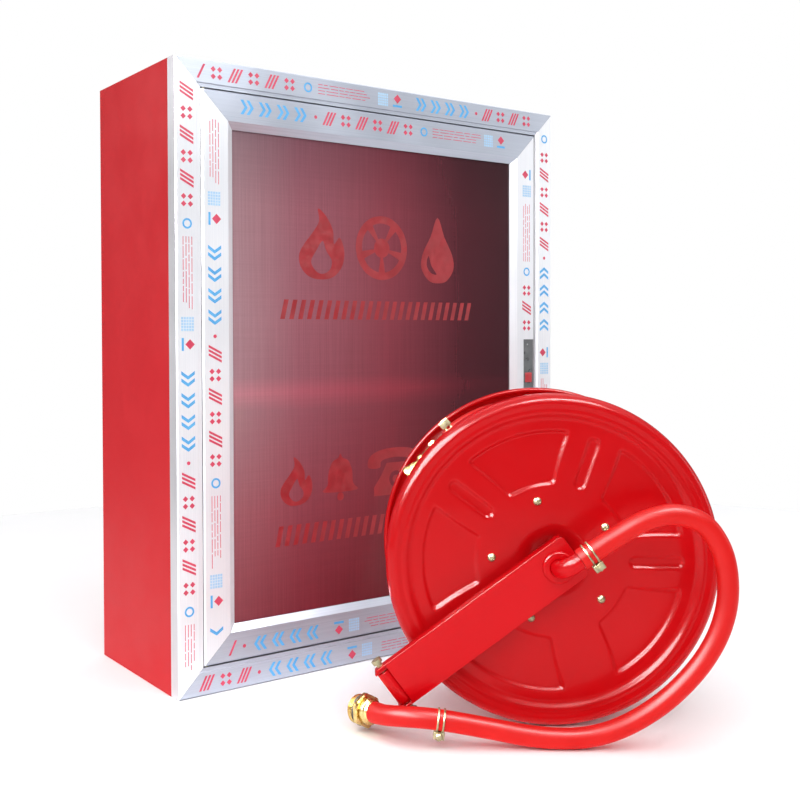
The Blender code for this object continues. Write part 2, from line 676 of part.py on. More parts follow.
def clamp_pair(name, centre, aim, block_side, frame):
    """A two-wire hose clamp, as a ring with its bolt block beside it, and the bolt through the block."""
    half = CLAMP_WIDTH / 2
    inner = HOSE_RADIUS + 0.0004
    aim, block_side = Vector(aim).normalized(), Vector(block_side).normalized()
    ring = turned(
        name,
        [(inner, half), (CLAMP_RADIUS, half), (CLAMP_RADIUS, -half), (inner, -half)], zinc(), 24,
        aim=aim, at=centre, parent=frame,
    )
    depth = 0.0085
    across = aim.cross(block_side).normalized()
    middle = Vector(centre) + block_side * (CLAMP_RADIUS + depth / 2 - 0.0003)
    bm = bmesh.new()
    bmesh.ops.create_cube(bm, size=1)
    bmesh.ops.scale(bm, vec=(CLAMP_WIDTH, 0.010, depth), verts=bm.verts)
    basis = Matrix((aim, across, block_side)).transposed().to_4x4()
    bmesh.ops.transform(bm, matrix=Matrix.Translation(middle) @ basis, verts=bm.verts)
    lug = place(name + "_lug", to_mesh(name + "_lug", bm), None, CUTTERS, frame)
    lug.hide_render = True
    lug.display_type = "WIRE"
    join = ring.modifiers.new("lug", "BOOLEAN")
    join.operation = "UNION"
    join.object = lug
    hole = rod_mesh("hole", middle - across * 0.012, middle + across * 0.012, 0.0028, 12)
    cut(ring, cutter(name + "_hole", [hole], frame))
    turned(
        name + "_bolt",
        [(0, 0.0102), (0.0042, 0.0102), (0.0042, 0.0056), (0.0024, 0.0056), (0.0024, -0.0110),
         (0, -0.0110)],
        zinc(), 12, closed=False, aim=across, at=middle, parent=frame,
    )


def make_arm(frame):
    """The swing arm and what is fixed to it: spindle, collar, elbow, hinge pin."""
    corners = []
    for along in (-ARM_TAIL, ARM_REACH):
        for across in (-ARM_WIDTH / 2, ARM_WIDTH / 2):
            corners.append((along_arm(along, across, ARM_FRONT), along_arm(along, across, ARM_BACK)))
    (a0, b0), (a1, b1), (a2, b2), (a3, b3) = corners
    mesh = bpy.data.meshes.new("swing_arm")
    mesh.from_pydata(
        [a0, a1, a3, a2, b0, b1, b3, b2], [],
        [(0, 1, 2, 3), (0, 4, 5, 1), (1, 5, 6, 2), (0, 3, 7, 4)],
    )
    bm = bmesh.new()
    bm.from_mesh(mesh)
    bmesh.ops.recalc_face_normals(bm, faces=bm.faces)
    plate = max(bm.faces, key=lambda face: face.calc_area())
    if plate.normal.y > 0:
        bmesh.ops.reverse_faces(bm, faces=bm.faces)
    bm.to_mesh(mesh)
    bm.free()
    arm = place("swing_arm", mesh, red_gloss(), parent=frame)
    sheet = arm.modifiers.new("sheet", "SOLIDIFY")
    sheet.thickness = ARM_SHEET
    sheet.offset = -1
    sheet.use_even_offset = True
    hole = rod_mesh("hole", (0, -0.05, 0), (0, -0.01, 0), SPINDLE_RADIUS + 0.0006, 32)
    pin_way = rod_mesh(
        "hole", along_arm(PIN_ALONG, -0.04, PIN_DEPTH), along_arm(PIN_ALONG, 0.04, PIN_DEPTH),
        PIN_RADIUS + GAP, 16,
    )
    cut(arm, cutter("arm_holes", [hole, pin_way], frame))
    inside = ARM_WIDTH / 2 - ARM_SHEET - 0.0002
    basis = Matrix((along_arm(1, 0, 0), along_arm(0, 1, 0), (0, -1, 0))).transposed().to_4x4()

    def slab(name, along, across, low, high):
        """A block on the arm from its ends along it, its sides across it and its two depths."""
        bm = bmesh.new()
        bmesh.ops.create_cube(bm, size=1)
        size = (along[1] - along[0], across[1] - across[0], high - low)
        bmesh.ops.scale(bm, vec=size, verts=bm.verts)
        middle = along_arm(sum(along) / 2, sum(across) / 2, (low + high) / 2)
        bmesh.ops.transform(bm, matrix=Matrix.Translation(middle) @ basis, verts=bm.verts)
        return to_mesh(name, bm)

    depths = (ARM_FRONT - 0.010, ARM_FRONT + 0.010)
    ends = (PLATE_END, PLATE_END + 0.020)
    notches = [
        slab("notch", ends, (KNUCKLE_HALF, inside), *depths),
        slab("notch", ends, (-inside, -KNUCKLE_HALF), *depths),
        slab("notch", (PIN_ALONG, PLATE_END + 0.020), (-inside, inside), *depths),
    ]
    cut(arm, cutter("arm_notch", notches, frame))
    knuckle_mesh = rod_mesh(
        "knuckle", along_arm(PIN_ALONG, -KNUCKLE_HALF, PIN_DEPTH),
        along_arm(PIN_ALONG, KNUCKLE_HALF, PIN_DEPTH), ARM_FRONT - 0.0006 - PIN_DEPTH, 24,
    )
    knuckle = place("arm_knuckle", knuckle_mesh, None, CUTTERS, frame)
    knuckle.hide_render = True
    knuckle.display_type = "WIRE"
    roll = arm.modifiers.new("knuckle", "BOOLEAN")
    roll.operation = "UNION"
    roll.object = knuckle
    cut(arm, cutter("pin_way", [rod_mesh(
        "hole", along_arm(PIN_ALONG, -0.04, PIN_DEPTH), along_arm(PIN_ALONG, 0.04, PIN_DEPTH),
        PIN_RADIUS + GAP, 16,
    )], frame))
    rear = -SPOOL - 0.020
    turned(
        "hub_spindle",
        [(0.0080, 0.0200), (SPINDLE_RADIUS, 0.0200), (SPINDLE_RADIUS, rear), (0.0080, rear)],
        zinc(), 24, parent=frame,
    )
    nut(
        "spindle_nut", reel_point(0, -SPOOL - 0.0072, 0), reel_point(0, -SPOOL - 0.0172, 0),
        0.0190, SPINDLE_RADIUS + GAP, zinc(), frame,
    )
    turned(
        "arm_collar",
        [(0.0104, ARM_FRONT + 0.0050), (0.0165, ARM_FRONT + 0.0050), (0.0180, ARM_FRONT + 0.0035),
         (0.0180, ARM_FRONT + GAP), (0.0104, ARM_FRONT + GAP)],
        red_gloss(), 24, parent=frame,
    )
    out = Vector((math.cos(ELBOW_ANGLE), 0, math.sin(ELBOW_ANGLE)))
    forward = Vector((0, -1, 0))
    bend = [
        forward * (ELBOW_DEPTH - ELBOW_BEND + ELBOW_BEND * math.sin(t))
        + out * (ELBOW_BEND - ELBOW_BEND * math.cos(t))
        for t in (math.pi / 2 * i / 8 for i in range(9))
    ]
    elbow = [forward * 0.0203] + bend + [forward * ELBOW_DEPTH + out * ELBOW_OUT]
    tube("inlet_elbow", elbow, ELBOW_RADIUS, red_gloss(), 3, frame)
    centre = forward * ELBOW_DEPTH + out * (ELBOW_OUT + 0.0125)
    across = Vector((out.z, 0, -out.x))
    clamp_pair("elbow_clamp", centre, out, across, frame)
    pin_low, pin_top = along_arm(PIN_ALONG, 0.0460, PIN_DEPTH), along_arm(PIN_ALONG, -0.0360, PIN_DEPTH)
    pin_aim = (pin_top - pin_low).normalized()
    pin_length = (pin_top - pin_low).length
    turned(
        "hinge_pin",
        [(0, pin_length), (0.0060, pin_length), (0.0060, pin_length - 0.0050),
         (PIN_RADIUS, pin_length - 0.0050), (PIN_RADIUS, 0), (0, 0)],
        zinc(), 16, closed=False, aim=pin_aim, at=pin_low, parent=frame,
    )
    nut(
        "hinge_nut", pin_low + pin_aim * 0.0070, pin_low + pin_aim * 0.0130, 0.0062,
        PIN_RADIUS + GAP, zinc(), frame,
    )
    make_bracket(frame)


def make_bracket(frame):
    """The hinged wall bracket: a base plate behind the arm's end with a lug at each side of it."""
    half = ARM_WIDTH / 2 - ARM_SHEET - 0.0012
    near, far = PIN_ALONG - 0.0060, PIN_ALONG + 0.0100
    front, back = PIN_DEPTH + 0.0046, BRACKET_BACK
    rows = [
        (along_arm(near, across, depth), along_arm(far, across, depth))
        for across, depth in ((-half, front), (-half, back), (half, back), (half, front))
    ]
    mesh = bpy.data.meshes.new("wall_bracket")
    points = [point for row in rows for point in row]
    mesh.from_pydata(points, [], [(0, 1, 3, 2), (2, 3, 5, 4), (4, 5, 7, 6)])
    bm = bmesh.new()
    bm.from_mesh(mesh)
    bmesh.ops.recalc_face_normals(bm, faces=bm.faces)
    base = max(bm.faces, key=lambda face: face.calc_center_median().y)
    if base.normal.y < 0:
        bmesh.ops.reverse_faces(bm, faces=bm.faces)
    bm.to_mesh(mesh)
    bm.free()
    bracket = place("wall_bracket", mesh, red_gloss(), parent=frame)
    sheet = bracket.modifiers.new("sheet", "SOLIDIFY")
    sheet.thickness = 0.0025
    sheet.offset = -1
    sheet.use_even_offset = True
    pin_way = rod_mesh(
        "hole", along_arm(PIN_ALONG, -0.04, PIN_DEPTH), along_arm(PIN_ALONG, 0.04, PIN_DEPTH),
        PIN_RADIUS + GAP, 16,
    )
    middle = (near + far) / 2
    bolt_ways = [
        rod_mesh(
            "hole", along_arm(middle, side, back - 0.006), along_arm(middle, side, back + 0.006),
            0.0032, 12,
        )
        for side in (-0.014, 0.014)
    ]
    cut(bracket, cutter("bracket_holes", [pin_way] + bolt_ways, frame))


def make_inlet_hose(frame):
    """The inlet hose from the elbow to its brass union, with the clamp and union that lie on it."""
    knots = [reel_point(*knot) for knot in HOSE_ROUTE]
    route = smooth_route(knots, HOSE_SPACING)
    tube("inlet_hose", route, HOSE_RADIUS, rubber(), 3, frame)
    low = min(range(len(route)), key=lambda i: abs(route[i].x + 0.134))
    clamp_pair("inlet_clamp", route[low], route[low + 1] - route[low - 1], (0, 0, -1), frame)
    end = route[-1]
    aim = (route[-1] - route[-2]).normalized()

    def part(name, profile, finish, steps=24):
        return turned(name, profile, finish, steps, aim=aim, at=end, parent=frame)

    bore = 0.0080
    part(
        "inlet_tail",
        [(bore, 0.0260), (0.0120, 0.0260), (0.0120, 0.0110), (0.0150, 0.0100), (0.0150, 0.0050),
         (0.0110, 0.0040), (0.0110, 0.0004), (bore, 0.0004)],
        brass(),
    )
    part(
        "coupling_nut",
        [(0.0124, 0.0296), (0.0165, 0.0296), (0.0165, 0.0199), (0.0150, 0.0199), (0.0150, 0.0172),
         (0.0200, 0.0172), (0.0200, 0.0110), (0.0154, 0.0103), (0.0154, 0.0108), (0.0124, 0.0114)],
        brass(),
    )
    part(
        "coupling_gasket",
        [(0.0153, 0.0196), (0.0180, 0.0196), (0.0180, 0.0175), (0.0153, 0.0175)], black_rubber(),
    )


def main():
    frame = start_scene()
    make_cabinet()
    make_reel_body(frame)
    make_nozzle(frame)
    make_arm(frame)
    make_inlet_hose(frame)
    for obj in PARTS.objects:
        if obj.type == "MESH":
            obj.data.set_sharp_from_angle(angle=math.radians(35))


main()
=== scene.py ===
"""The looks of a glazed standpipe cabinet and of its swing-arm hose reel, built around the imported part.

Metres, +Z up; the door faces -Y and the origin is the centre of the cabinet's underside. What
belongs to the reel is built in a frame of its own, REEL: its origin is the hub, +X is to the
right of somebody facing the disc, -Y points at that person, +Z is up.
"""

import json
import math
import random

import bmesh
import bpy
from mathutils import Matrix, Vector


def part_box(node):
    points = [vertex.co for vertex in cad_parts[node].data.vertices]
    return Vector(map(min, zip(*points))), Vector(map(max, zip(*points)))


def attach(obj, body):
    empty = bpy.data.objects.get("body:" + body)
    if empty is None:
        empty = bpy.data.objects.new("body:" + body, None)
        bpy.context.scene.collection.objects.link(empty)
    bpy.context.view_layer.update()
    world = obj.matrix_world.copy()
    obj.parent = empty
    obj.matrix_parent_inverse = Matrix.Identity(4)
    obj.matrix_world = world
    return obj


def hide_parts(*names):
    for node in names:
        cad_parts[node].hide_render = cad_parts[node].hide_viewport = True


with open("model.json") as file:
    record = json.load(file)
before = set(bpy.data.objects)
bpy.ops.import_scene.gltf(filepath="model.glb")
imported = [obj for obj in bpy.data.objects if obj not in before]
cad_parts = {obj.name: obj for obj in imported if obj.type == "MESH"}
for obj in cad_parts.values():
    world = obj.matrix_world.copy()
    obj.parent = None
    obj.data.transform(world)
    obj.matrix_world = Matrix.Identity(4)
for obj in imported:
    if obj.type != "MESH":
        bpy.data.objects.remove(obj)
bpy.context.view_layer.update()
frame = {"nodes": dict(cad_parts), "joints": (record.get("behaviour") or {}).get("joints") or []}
NODES = frame["nodes"]
JOINTS = {joint["name"]: joint for joint in frame["joints"]}

# The reel's frame, from the joint that it spins on
HUB = Vector(JOINTS["reel_spin"]["pos_m"])
SPIN_AXIS = Vector(JOINTS["reel_spin"]["axis"])
REEL = Matrix.Translation(HUB) @ Matrix.Rotation(math.atan2(SPIN_AXIS.y, SPIN_AXIS.x) + math.pi / 2, 4, "Z")

# Camera: place, lens in millimetres, shift, and turns about up, right and ahead
CAMERA_PLACE, CAMERA_LENS, CAMERA_SHIFT = (-0.90536, -1.32063, 0.45301), 48.02, (0.0642, -0.0525)
YAW, PITCH, ROLL = 0.61016, -0.02047, -0.00308
FLOOR_RADIUS = 1.7

# Reel: outer radius, distance between the discs' planes, thickness of the sheet; the discs' flat
# stands FACE in front of their planes
RIM, SPOOL, DISC_SHEET, FACE = 0.193, 0.146, 0.0015, 0.0010
HUB_HOLE, DRUM_RADIUS, HOSE_RADIUS = 0.0228, 0.095, 0.0115
PANEL_INNER, PANEL_OUTER, PANEL_DEPTH = 0.0885, 0.1500, 0.0036
SLOT_INNER, SLOT_OUTER, SLOT_HALF, SLOT_DEPTH = 0.094, 0.142, 0.0068, 0.0030
PATTERN_START, PATTERN_COUNT, BARE_SLOT = math.radians(107), 5, math.radians(287)
SCREW_START, SCREW_CIRCLE = math.radians(105), 0.071
WOUND_HOSE_RADIUS, WOUND_LAYERS, WOUND_TURNS = 0.0112, (0.1067, 0.1266, 0.1464), 5.2

# Arm (sizes along it are from the hub), elbow and nozzle; TAIL_ROUTE is (right, up) from the hub,
# of the hose end between the nozzle and the winding
ARM_ANGLE = math.radians(216.5)
ARM_WIDTH, ARM_TAIL, ARM_REACH, PLATE_END = 0.054, 0.024, 0.235, 0.2225
ARM_FRONT, ARM_BACK, ARM_SHEET = 0.036, 0.020, 0.0025
ELBOW_RADIUS, ELBOW_DEPTH, ELBOW_OUT, ELBOW_BEND = 0.0100, 0.062, 0.0235, 0.018
ELBOW_ANGLE = math.radians(34.5)
NOZZLE_START, NOZZLE_END, NOZZLE_DEPTH = (-0.1185, 0.1395), (-0.1655, 0.0940), -0.0265
TAIL_ROUTE = [(-0.0935, 0.1590), (-0.0755, 0.1668), (-0.0610, 0.1703), (-0.0460, 0.1717), (-0.0310, 0.1718),
              (-0.0160, 0.1706), (0.0100, 0.1650), (0.0350, 0.1540), (0.0560, 0.1390)]
PIN_ALONG, PIN_DEPTH, PIN_RADIUS, KNUCKLE_HALF = 0.229, 0.0268, 0.0035, 0.0200
CLAMP_AT = -0.134
PAINTED = ("wall_bracket", "hub_spindle")  # CAD pieces in the arm's red

# Length after which the protective film's print starts again
PRINT_REPEAT = 0.484

# Inlet hose: (right, towards the viewer, up) from the hub
HOSE_ROUTE = [
    (0.0197, 0.0620, 0.0135), (0.0375, 0.0621, 0.0257), (0.0610, 0.0628, 0.0410),
    (0.0890, 0.0650, 0.0573), (0.1192, 0.0675, 0.0645), (0.1491, 0.0690, 0.0557),
    (0.1673, 0.0690, 0.0327), (0.1762, 0.0688, 0.0040), (0.1772, 0.0683, -0.0290),
    (0.1700, 0.0675, -0.0610), (0.1550, 0.0668, -0.0910), (0.1340, 0.0662, -0.1180),
    (0.1080, 0.0655, -0.1425), (0.0780, 0.0650, -0.1625), (0.0480, 0.0650, -0.1755),
    (0.0180, 0.0648, -0.1816), (-0.0130, 0.0645, -0.1820), (-0.0420, 0.0640, -0.1790),
    (-0.0700, 0.0635, -0.1740), (-0.0980, 0.0630, -0.1690), (-0.1250, 0.0627, -0.1645),
    (-0.1460, 0.0615, -0.1620), (-0.1650, 0.0585, -0.1615), (-0.1810, 0.0510, -0.1632),
    (-0.1955, 0.0390, -0.1662), (-0.2070, 0.0258, -0.1680),
]


# ---- Camera, light, floor -----------------------------------------------------------------


def make_camera():
    data = bpy.data.cameras.new("camera")
    data.sensor_width, data.sensor_fit = 36.0, "HORIZONTAL"
    data.lens = CAMERA_LENS
    data.shift_x, data.shift_y = CAMERA_SHIFT
    camera = bpy.data.objects.new("camera", data)
    bpy.context.scene.collection.objects.link(camera)
    ahead = Vector((math.sin(YAW) * math.cos(PITCH), math.cos(YAW) * math.cos(PITCH), math.sin(PITCH)))
    right = Vector((math.cos(YAW), -math.sin(YAW), 0))
    up = right.cross(ahead)
    turned_right = right * math.cos(ROLL) + up * math.sin(ROLL)
    turned_up = up * math.cos(ROLL) - right * math.sin(ROLL)
    axes = Matrix((turned_right, turned_up, -ahead)).transposed().to_4x4()
    camera.matrix_world = Matrix.Translation(CAMERA_PLACE) @ axes
    bpy.context.scene.camera = camera


def area_light(name, place, target, size, power, highlight=False):
    """A soft rectangular light; a highlight light is seen in reflections only."""
    data = bpy.data.lights.new(name, "AREA")
    data.shape, data.size, data.size_y = "RECTANGLE", size[0], size[1]
    data.energy = power
    light = bpy.data.objects.new(name, data)
    bpy.context.scene.collection.objects.link(light)
    light.location = place
    light.visible_diffuse = not highlight
    light.rotation_euler = (Vector(target) - Vector(place)).to_track_quat("-Z", "Y").to_euler()


def make_studio():
    world = bpy.data.worlds.new("studio")
    bpy.context.scene.world = world
    world.use_nodes = True
    tree = world.node_tree
    around = tree.nodes["Background"]
    around.inputs["Color"].default_value = (0.96, 0.98, 1.0, 1)
    around.inputs["Strength"].default_value = 0.34
    backdrop = tree.nodes.new("ShaderNodeBackground")
    backdrop.inputs["Color"].default_value = (1, 1, 1, 1)
    path = tree.nodes.new("ShaderNodeLightPath")
    chosen = tree.nodes.new("ShaderNodeMixShader")
    tree.links.new(path.outputs["Is Camera Ray"], chosen.inputs["Fac"])
    tree.links.new(around.outputs["Background"], chosen.inputs[1])
    tree.links.new(backdrop.outputs["Background"], chosen.inputs[2])
    tree.links.new(chosen.outputs["Shader"], tree.nodes["World Output"].inputs["Surface"])
    area_light("overhead", (0.0, -0.3, 3.4), (0, -0.3, 0), (7.0, 7.0), 190)
    area_light("key", (-1.9, -1.5, 1.8), (0, -0.2, 0.35), (0.9, 1.6), 15)
    area_light("front", (-1.0, -3.0, 2.3), (0.1, -0.3, 0.3), (1.5, 0.4), 15)
    area_light("right", (2.2, -1.5, 0.9), (0.1, -0.4, 0.2), (0.5, 1.2), 6)
    area_light("sheen", REEL @ Vector((-1.5, -0.80, 1.15)), HUB, (1.7, 1.2), 330, True)
    area_light("top", REEL @ Vector((0.35, -0.75, 1.75)), HUB, (1.3, 0.7), 130, True)
    area_light("slope", REEL @ Vector((-0.95, -1.9, 1.0)), HUB, (0.7, 0.7), 75, True)
    bpy.context.scene.view_settings.view_transform = "Standard"


def make_floor():
    bm = bmesh.new()
    bmesh.ops.create_circle(bm, cap_ends=True, segments=96, radius=FLOOR_RADIUS)
    mesh = bpy.data.meshes.new("floor")
    bm.to_mesh(mesh)
    bm.free()
    floor = bpy.data.objects.new("floor", mesh)
    floor.location = (0, -0.3, -0.0004)
    bpy.context.scene.collection.objects.link(floor)
    paint = Finish("floor_paint", base_color=(0.93, 0.93, 0.94), roughness=0.75)
    paint.tint(paint.noise(2.0), (0.92, 0.92, 0.93), (0.95, 0.95, 0.955))
    mesh.materials.append(paint.material)


# ---- Materials ----------------------------------------------------------------------------


class Finish:
    """One procedural material: its shader, and small helpers that add nodes to it."""

    def __init__(self, name, base_color, roughness, **values):
        self.material = bpy.data.materials.new(name)
        self.material.use_nodes = True
        self.tree = self.material.node_tree
        self.shader = self.tree.nodes["Principled BSDF"]
        self.shader.inputs["Base Color"].default_value = (*base_color, 1)
        self.shader.inputs["Roughness"].default_value = roughness
        for key, value in values.items():
            socket = self.shader.inputs[key.replace("_", " ").title().replace("Ior", "IOR")]
            socket.default_value = value
        self.coordinates = self.node("TexCoord").outputs["Object"]
        self.normal = None

    def node(self, kind, **settings):
        node = self.tree.nodes.new("ShaderNode" + kind)
        for key, value in settings.items():
            setattr(node, key, value)
        return node

    def link(self, source, target):
        self.tree.links.new(source, target)

    def space(self, scale):
        mapping = self.node("Mapping")
        self.link(self.coordinates, mapping.inputs["Vector"])
        mapping.inputs["Scale"].default_value = scale
        return mapping.outputs["Vector"]

    def noise(self, scale, detail=3.0, rough=0.55, stretch=(1, 1, 1)):
        node = self.node("TexNoise")
        self.link(self.space(stretch), node.inputs["Vector"])
        node.inputs["Scale"].default_value = scale
        node.inputs["Detail"].default_value = detail
        node.inputs["Roughness"].default_value = rough
        return node.outputs["Fac"]

    def along(self, axis):
        node = self.node("SeparateXYZ")
        self.link(self.coordinates, node.inputs["Vector"])
        return node.outputs[axis]

    def ramp(self, value, stops):
        node = self.node("ValToRGB")
        self.link(value, node.inputs["Fac"])
        points = node.color_ramp.elements
        while len(points) < len(stops):
            points.new(0.5)
        for point, (position, colour) in zip(points, stops):
            point.position, point.color = position, (*colour, 1)
        return node.outputs["Color"]

    def spread(self, value, low, high, start=0.35, end=0.65):
        node = self.node("MapRange")
        self.link(value, node.inputs["Value"])
        for key, number in (("From Min", start), ("From Max", end), ("To Min", low), ("To Max", high)):
            node.inputs[key].default_value = number
        return node.outputs["Result"]

    def product(self, first, second):
        node = self.node("Mix", data_type="RGBA", blend_type="MULTIPLY")
        node.inputs["Factor"].default_value = 1
        self.link(first, node.inputs["A"])
        self.link(second, node.inputs["B"])
        return node.outputs["Result"]

    def colour(self, output):
        self.link(output, self.shader.inputs["Base Color"])
        return self

    def tint(self, value, low, high):
        return self.colour(self.ramp(value, [(0.3, low), (0.7, high)]))

    def gloss(self, value, low, high):
        self.link(self.spread(value, low, high), self.shader.inputs["Roughness"])
        return self

    def bump(self, height, distance, strength=1.0):
        node = self.node("Bump")
        node.inputs["Distance"].default_value = distance
        node.inputs["Strength"].default_value = strength
        self.link(height, node.inputs["Height"])
        if self.normal:
            self.link(self.normal, node.inputs["Normal"])
        self.normal = node.outputs["Normal"]
        self.link(self.normal, self.shader.inputs["Normal"])
        return self


def red_coat():
    """Satin powder coat: fine orange peel and a slow drift in tone."""
    finish = Finish("red_coat", (0.69, 0.014, 0.024), 0.4, specular_ior_level=0.10)
    finish.tint(finish.noise(3.0), (0.610, 0.010, 0.016), (0.630, 0.012, 0.019))
    finish.gloss(finish.noise(14), 0.36, 0.46)
    finish.bump(finish.noise(650, 2.0), 0.00004).bump(finish.noise(5), 0.0012, 0.08)
    return finish.material


def red_gloss(name="red_gloss", low=(0.545, 0.002, 0.004), high=(0.600, 0.004, 0.007)):
    """Glossy stoved enamel on pressed steel."""
    finish = Finish(name, low, 0.2, specular_ior_level=0.11, coat_weight=0.08, coat_roughness=0.04)
    finish.tint(finish.noise(5.0), low, high)
    finish.gloss(finish.noise(28, 4.0), 0.17, 0.27)
    finish.bump(finish.noise(330, 2.0), 0.00005).bump(finish.noise(16), 0.0005, 0.3)
    return finish.material


def aluminium(name, stretch, metallic, low, high):
    """Drawn aluminium, with painted shade that makes it darker off the front faces."""
    finish = Finish(name, low, 0.34, metallic=metallic, coat_weight=0.2, coat_roughness=0.12)
    lines = finish.noise(1.0, 5.0, 0.7, stretch)
    turned = finish.node("SeparateXYZ")
    finish.link(finish.node("TexCoord").outputs["Normal"], turned.inputs["Vector"])
    # Painted shade: faces turned away from the front are darkened by their normal.
    shade = [(0, (1, 1, 1)), (1, (0.66, 0.63, 0.63))]
    painted_side_shade = finish.ramp(finish.spread(turned.outputs["Y"], 0, 1, -0.75, -0.35), shade)
    finish.colour(finish.product(finish.ramp(lines, [(0.3, low), (0.7, high)]), painted_side_shade))
    finish.gloss(finish.noise(7, 2.0), 0.30, 0.38)
    finish.bump(lines, 0.00002).bump(finish.noise(11, 2.0), 0.0005, 0.15)
    return finish.material


def tinted_pane():
    """Wine-red tinted pane under a finely ribbed film, with a painted reflection that makes it paler towards
    its hinge side, painted shade at its top and bottom, and a painted highlight across it at the height of
    the shelf behind it.
    """
    finish = Finish(
        "tinted_glass", (0.2, 0.03, 0.05), 0.2, alpha=0.88, specular_ior_level=0.2, coat_weight=0.06,
    )
    # Painted reflection: paler towards the hinge side, darkest at the other side.
    drift = finish.ramp(
        finish.spread(finish.along("X"), 0, 1, -0.25, 0.25),
        [(0.0, (0.45, 0.270, 0.300)), (0.22, (0.37, 0.132, 0.168)), (0.52, (0.295, 0.060, 0.083)),
         (0.8, (0.098, 0.018, 0.028)), (1.0, (0.054, 0.011, 0.017))],
    )
    # Painted shade at the top and bottom, and a painted highlight in a band at the shelf's height.
    painted_shade_and_highlight_by_height = finish.ramp(
        finish.spread(finish.along("Z"), 0, 1, 0.08, 0.72),
        [(0.0, (0.62, 0.22, 0.25)), (0.22, (0.84, 0.50, 0.53)), (0.43, (0.93, 0.86, 0.87)),
         (0.467, (1.30, 0.98, 1.02)), (0.50, (0.96, 0.92, 0.93)), (0.62, (1.0, 1.0, 1.0)),
         (0.85, (0.94, 0.94, 0.94)), (1.0, (0.62, 0.66, 0.68))],
    )
    threads = finish.noise(1.0, 4.0, 0.7, (480, 1, 6))
    picks = finish.noise(1.0, 4.0, 0.7, (6, 1, 480))
    lines = finish.ramp(threads, [(0.25, (0.86, 0.86, 0.86)), (0.75, (1.12, 1.12, 1.12))])
    cross = finish.ramp(picks, [(0.25, (0.95, 0.95, 0.95)), (0.75, (1.05, 1.05, 1.05))])
    finish.colour(finish.product(finish.product(drift, painted_shade_and_highlight_by_height), finish.product(lines, cross)))
    finish.gloss(finish.noise(3), 0.20, 0.25)
    finish.bump(threads, 0.00002).bump(picks, 0.00001)
    return finish.material


def plain(name, low, high, roughness, scale=60.0, grain=0.00005, spread=0.08, **values):
    """A finish that varies slightly in tone, gloss and grain."""
    finish = Finish(name, low, roughness, **values)
    finish.tint(finish.noise(scale), low, high)
    finish.gloss(finish.noise(scale * 1.7, 4.0), roughness - spread, roughness + spread)
    finish.bump(finish.noise(scale * 9, 3.0), grain)
    return finish.material


def red_rubber():
    """Smooth rubber cover of the hoses, faintly mottled."""
    finish = Finish("red_rubber", (0.86, 0.022, 0.020), 0.36, specular_ior_level=0.15)
    finish.tint(finish.noise(18), (0.66, 0.007, 0.006), (0.72, 0.012, 0.010))
    finish.gloss(finish.noise(25, 2.0), 0.32, 0.38)
    finish.bump(finish.noise(420, 3.0), 0.00008).bump(finish.noise(30), 0.0006, 0.25)
    return finish.material


def make_materials():
    across, upright = (3, 60, 900), (900, 60, 3)
    return {
        "red_coat": red_coat(),
        "red_gloss": red_gloss(),
        "arm_red": red_gloss("arm_red", (0.590, 0.001, 0.004), (0.635, 0.002, 0.006)),
        # A lit and a shaded copy of one aluminium: the paler base colour of the upright bars is a painted
        # highlight, the darker one of the bars across is painted shade; each has its grain along its bars.
        "aluminium_across_shaded": aluminium(
            "aluminium_across_shaded", across, 0.6, (0.42, 0.455, 0.54), (0.51, 0.545, 0.62)),
        "aluminium_upright_lit": aluminium(
            "aluminium_upright_lit", upright, 0.3, (0.80, 0.82, 0.87), (0.89, 0.905, 0.94)),
        "tinted_glass": tinted_pane(),
        "black_rubber": plain("black_rubber", (0.012, 0.012, 0.013), (0.022, 0.021, 0.021), 0.6),
        "lock_steel": plain("lock_steel", (0.13, 0.135, 0.14), (0.19, 0.195, 0.20), 0.34, metallic=0.7),
        "zinc_plate": plain("zinc_plate", (0.30, 0.27, 0.16), (0.45, 0.41, 0.26), 0.32, 90, metallic=1.0),
        "red_plastic": plain("red_plastic", (0.50, 0.022, 0.030), (0.56, 0.03, 0.038), 0.36),
        "bush_plastic": plain("bush_plastic", (0.50, 0.010, 0.014), (0.56, 0.014, 0.020), 0.42),
        "brass": plain("brass", (0.54, 0.38, 0.13), (0.70, 0.54, 0.24), 0.26, 110, metallic=1.0),
        "copper_wire": plain(
            "copper_wire", (0.27, 0.12, 0.045), (0.38, 0.18, 0.075), 0.42, 120, metallic=0.6),
        "red_ink": plain("red_ink", (0.62, 0.030, 0.085), (0.72, 0.055, 0.125), 0.45),
        "blue_ink": plain("blue_ink", (0.060, 0.36, 0.75), (0.11, 0.47, 0.86), 0.45),
        "pale_ink": plain("pale_ink", (0.36, 0.60, 0.84), (0.46, 0.69, 0.90), 0.5),
        "pane_ink": plain("pane_ink", (0.31, 0.010, 0.016), (0.40, 0.018, 0.026), 0.4),
        "red_rubber": red_rubber(),
    }


# ---- Shapes -------------------------------------------------------------------------------


def piece(name, mesh, finish, body, place=None, stands_for=(), slot=None, sharp=35):
    """A finished object that rides on a body; finish is a material's name or several."""
    obj = bpy.data.objects.new(name, mesh)
    bpy.context.scene.collection.objects.link(obj)
    if place is not None:
        obj.matrix_world = place
    names = [finish] if isinstance(finish, str) else list(finish)
    mesh.materials.clear()
    for each in names:
        mesh.materials.append(MATERIALS[each])
    if obj.type == "MESH":
        mesh.shade_smooth()
        mesh.set_sharp_from_angle(angle=math.radians(sharp))
    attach(obj, body)
    if stands_for:
        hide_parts(*stands_for)
    slot or names[0]
    return obj


def mesh_of(name, points, faces):
    mesh = bpy.data.meshes.new(name)
    mesh.from_pydata([tuple(p) for p in points], [], faces)
    mesh.validate()
    return mesh


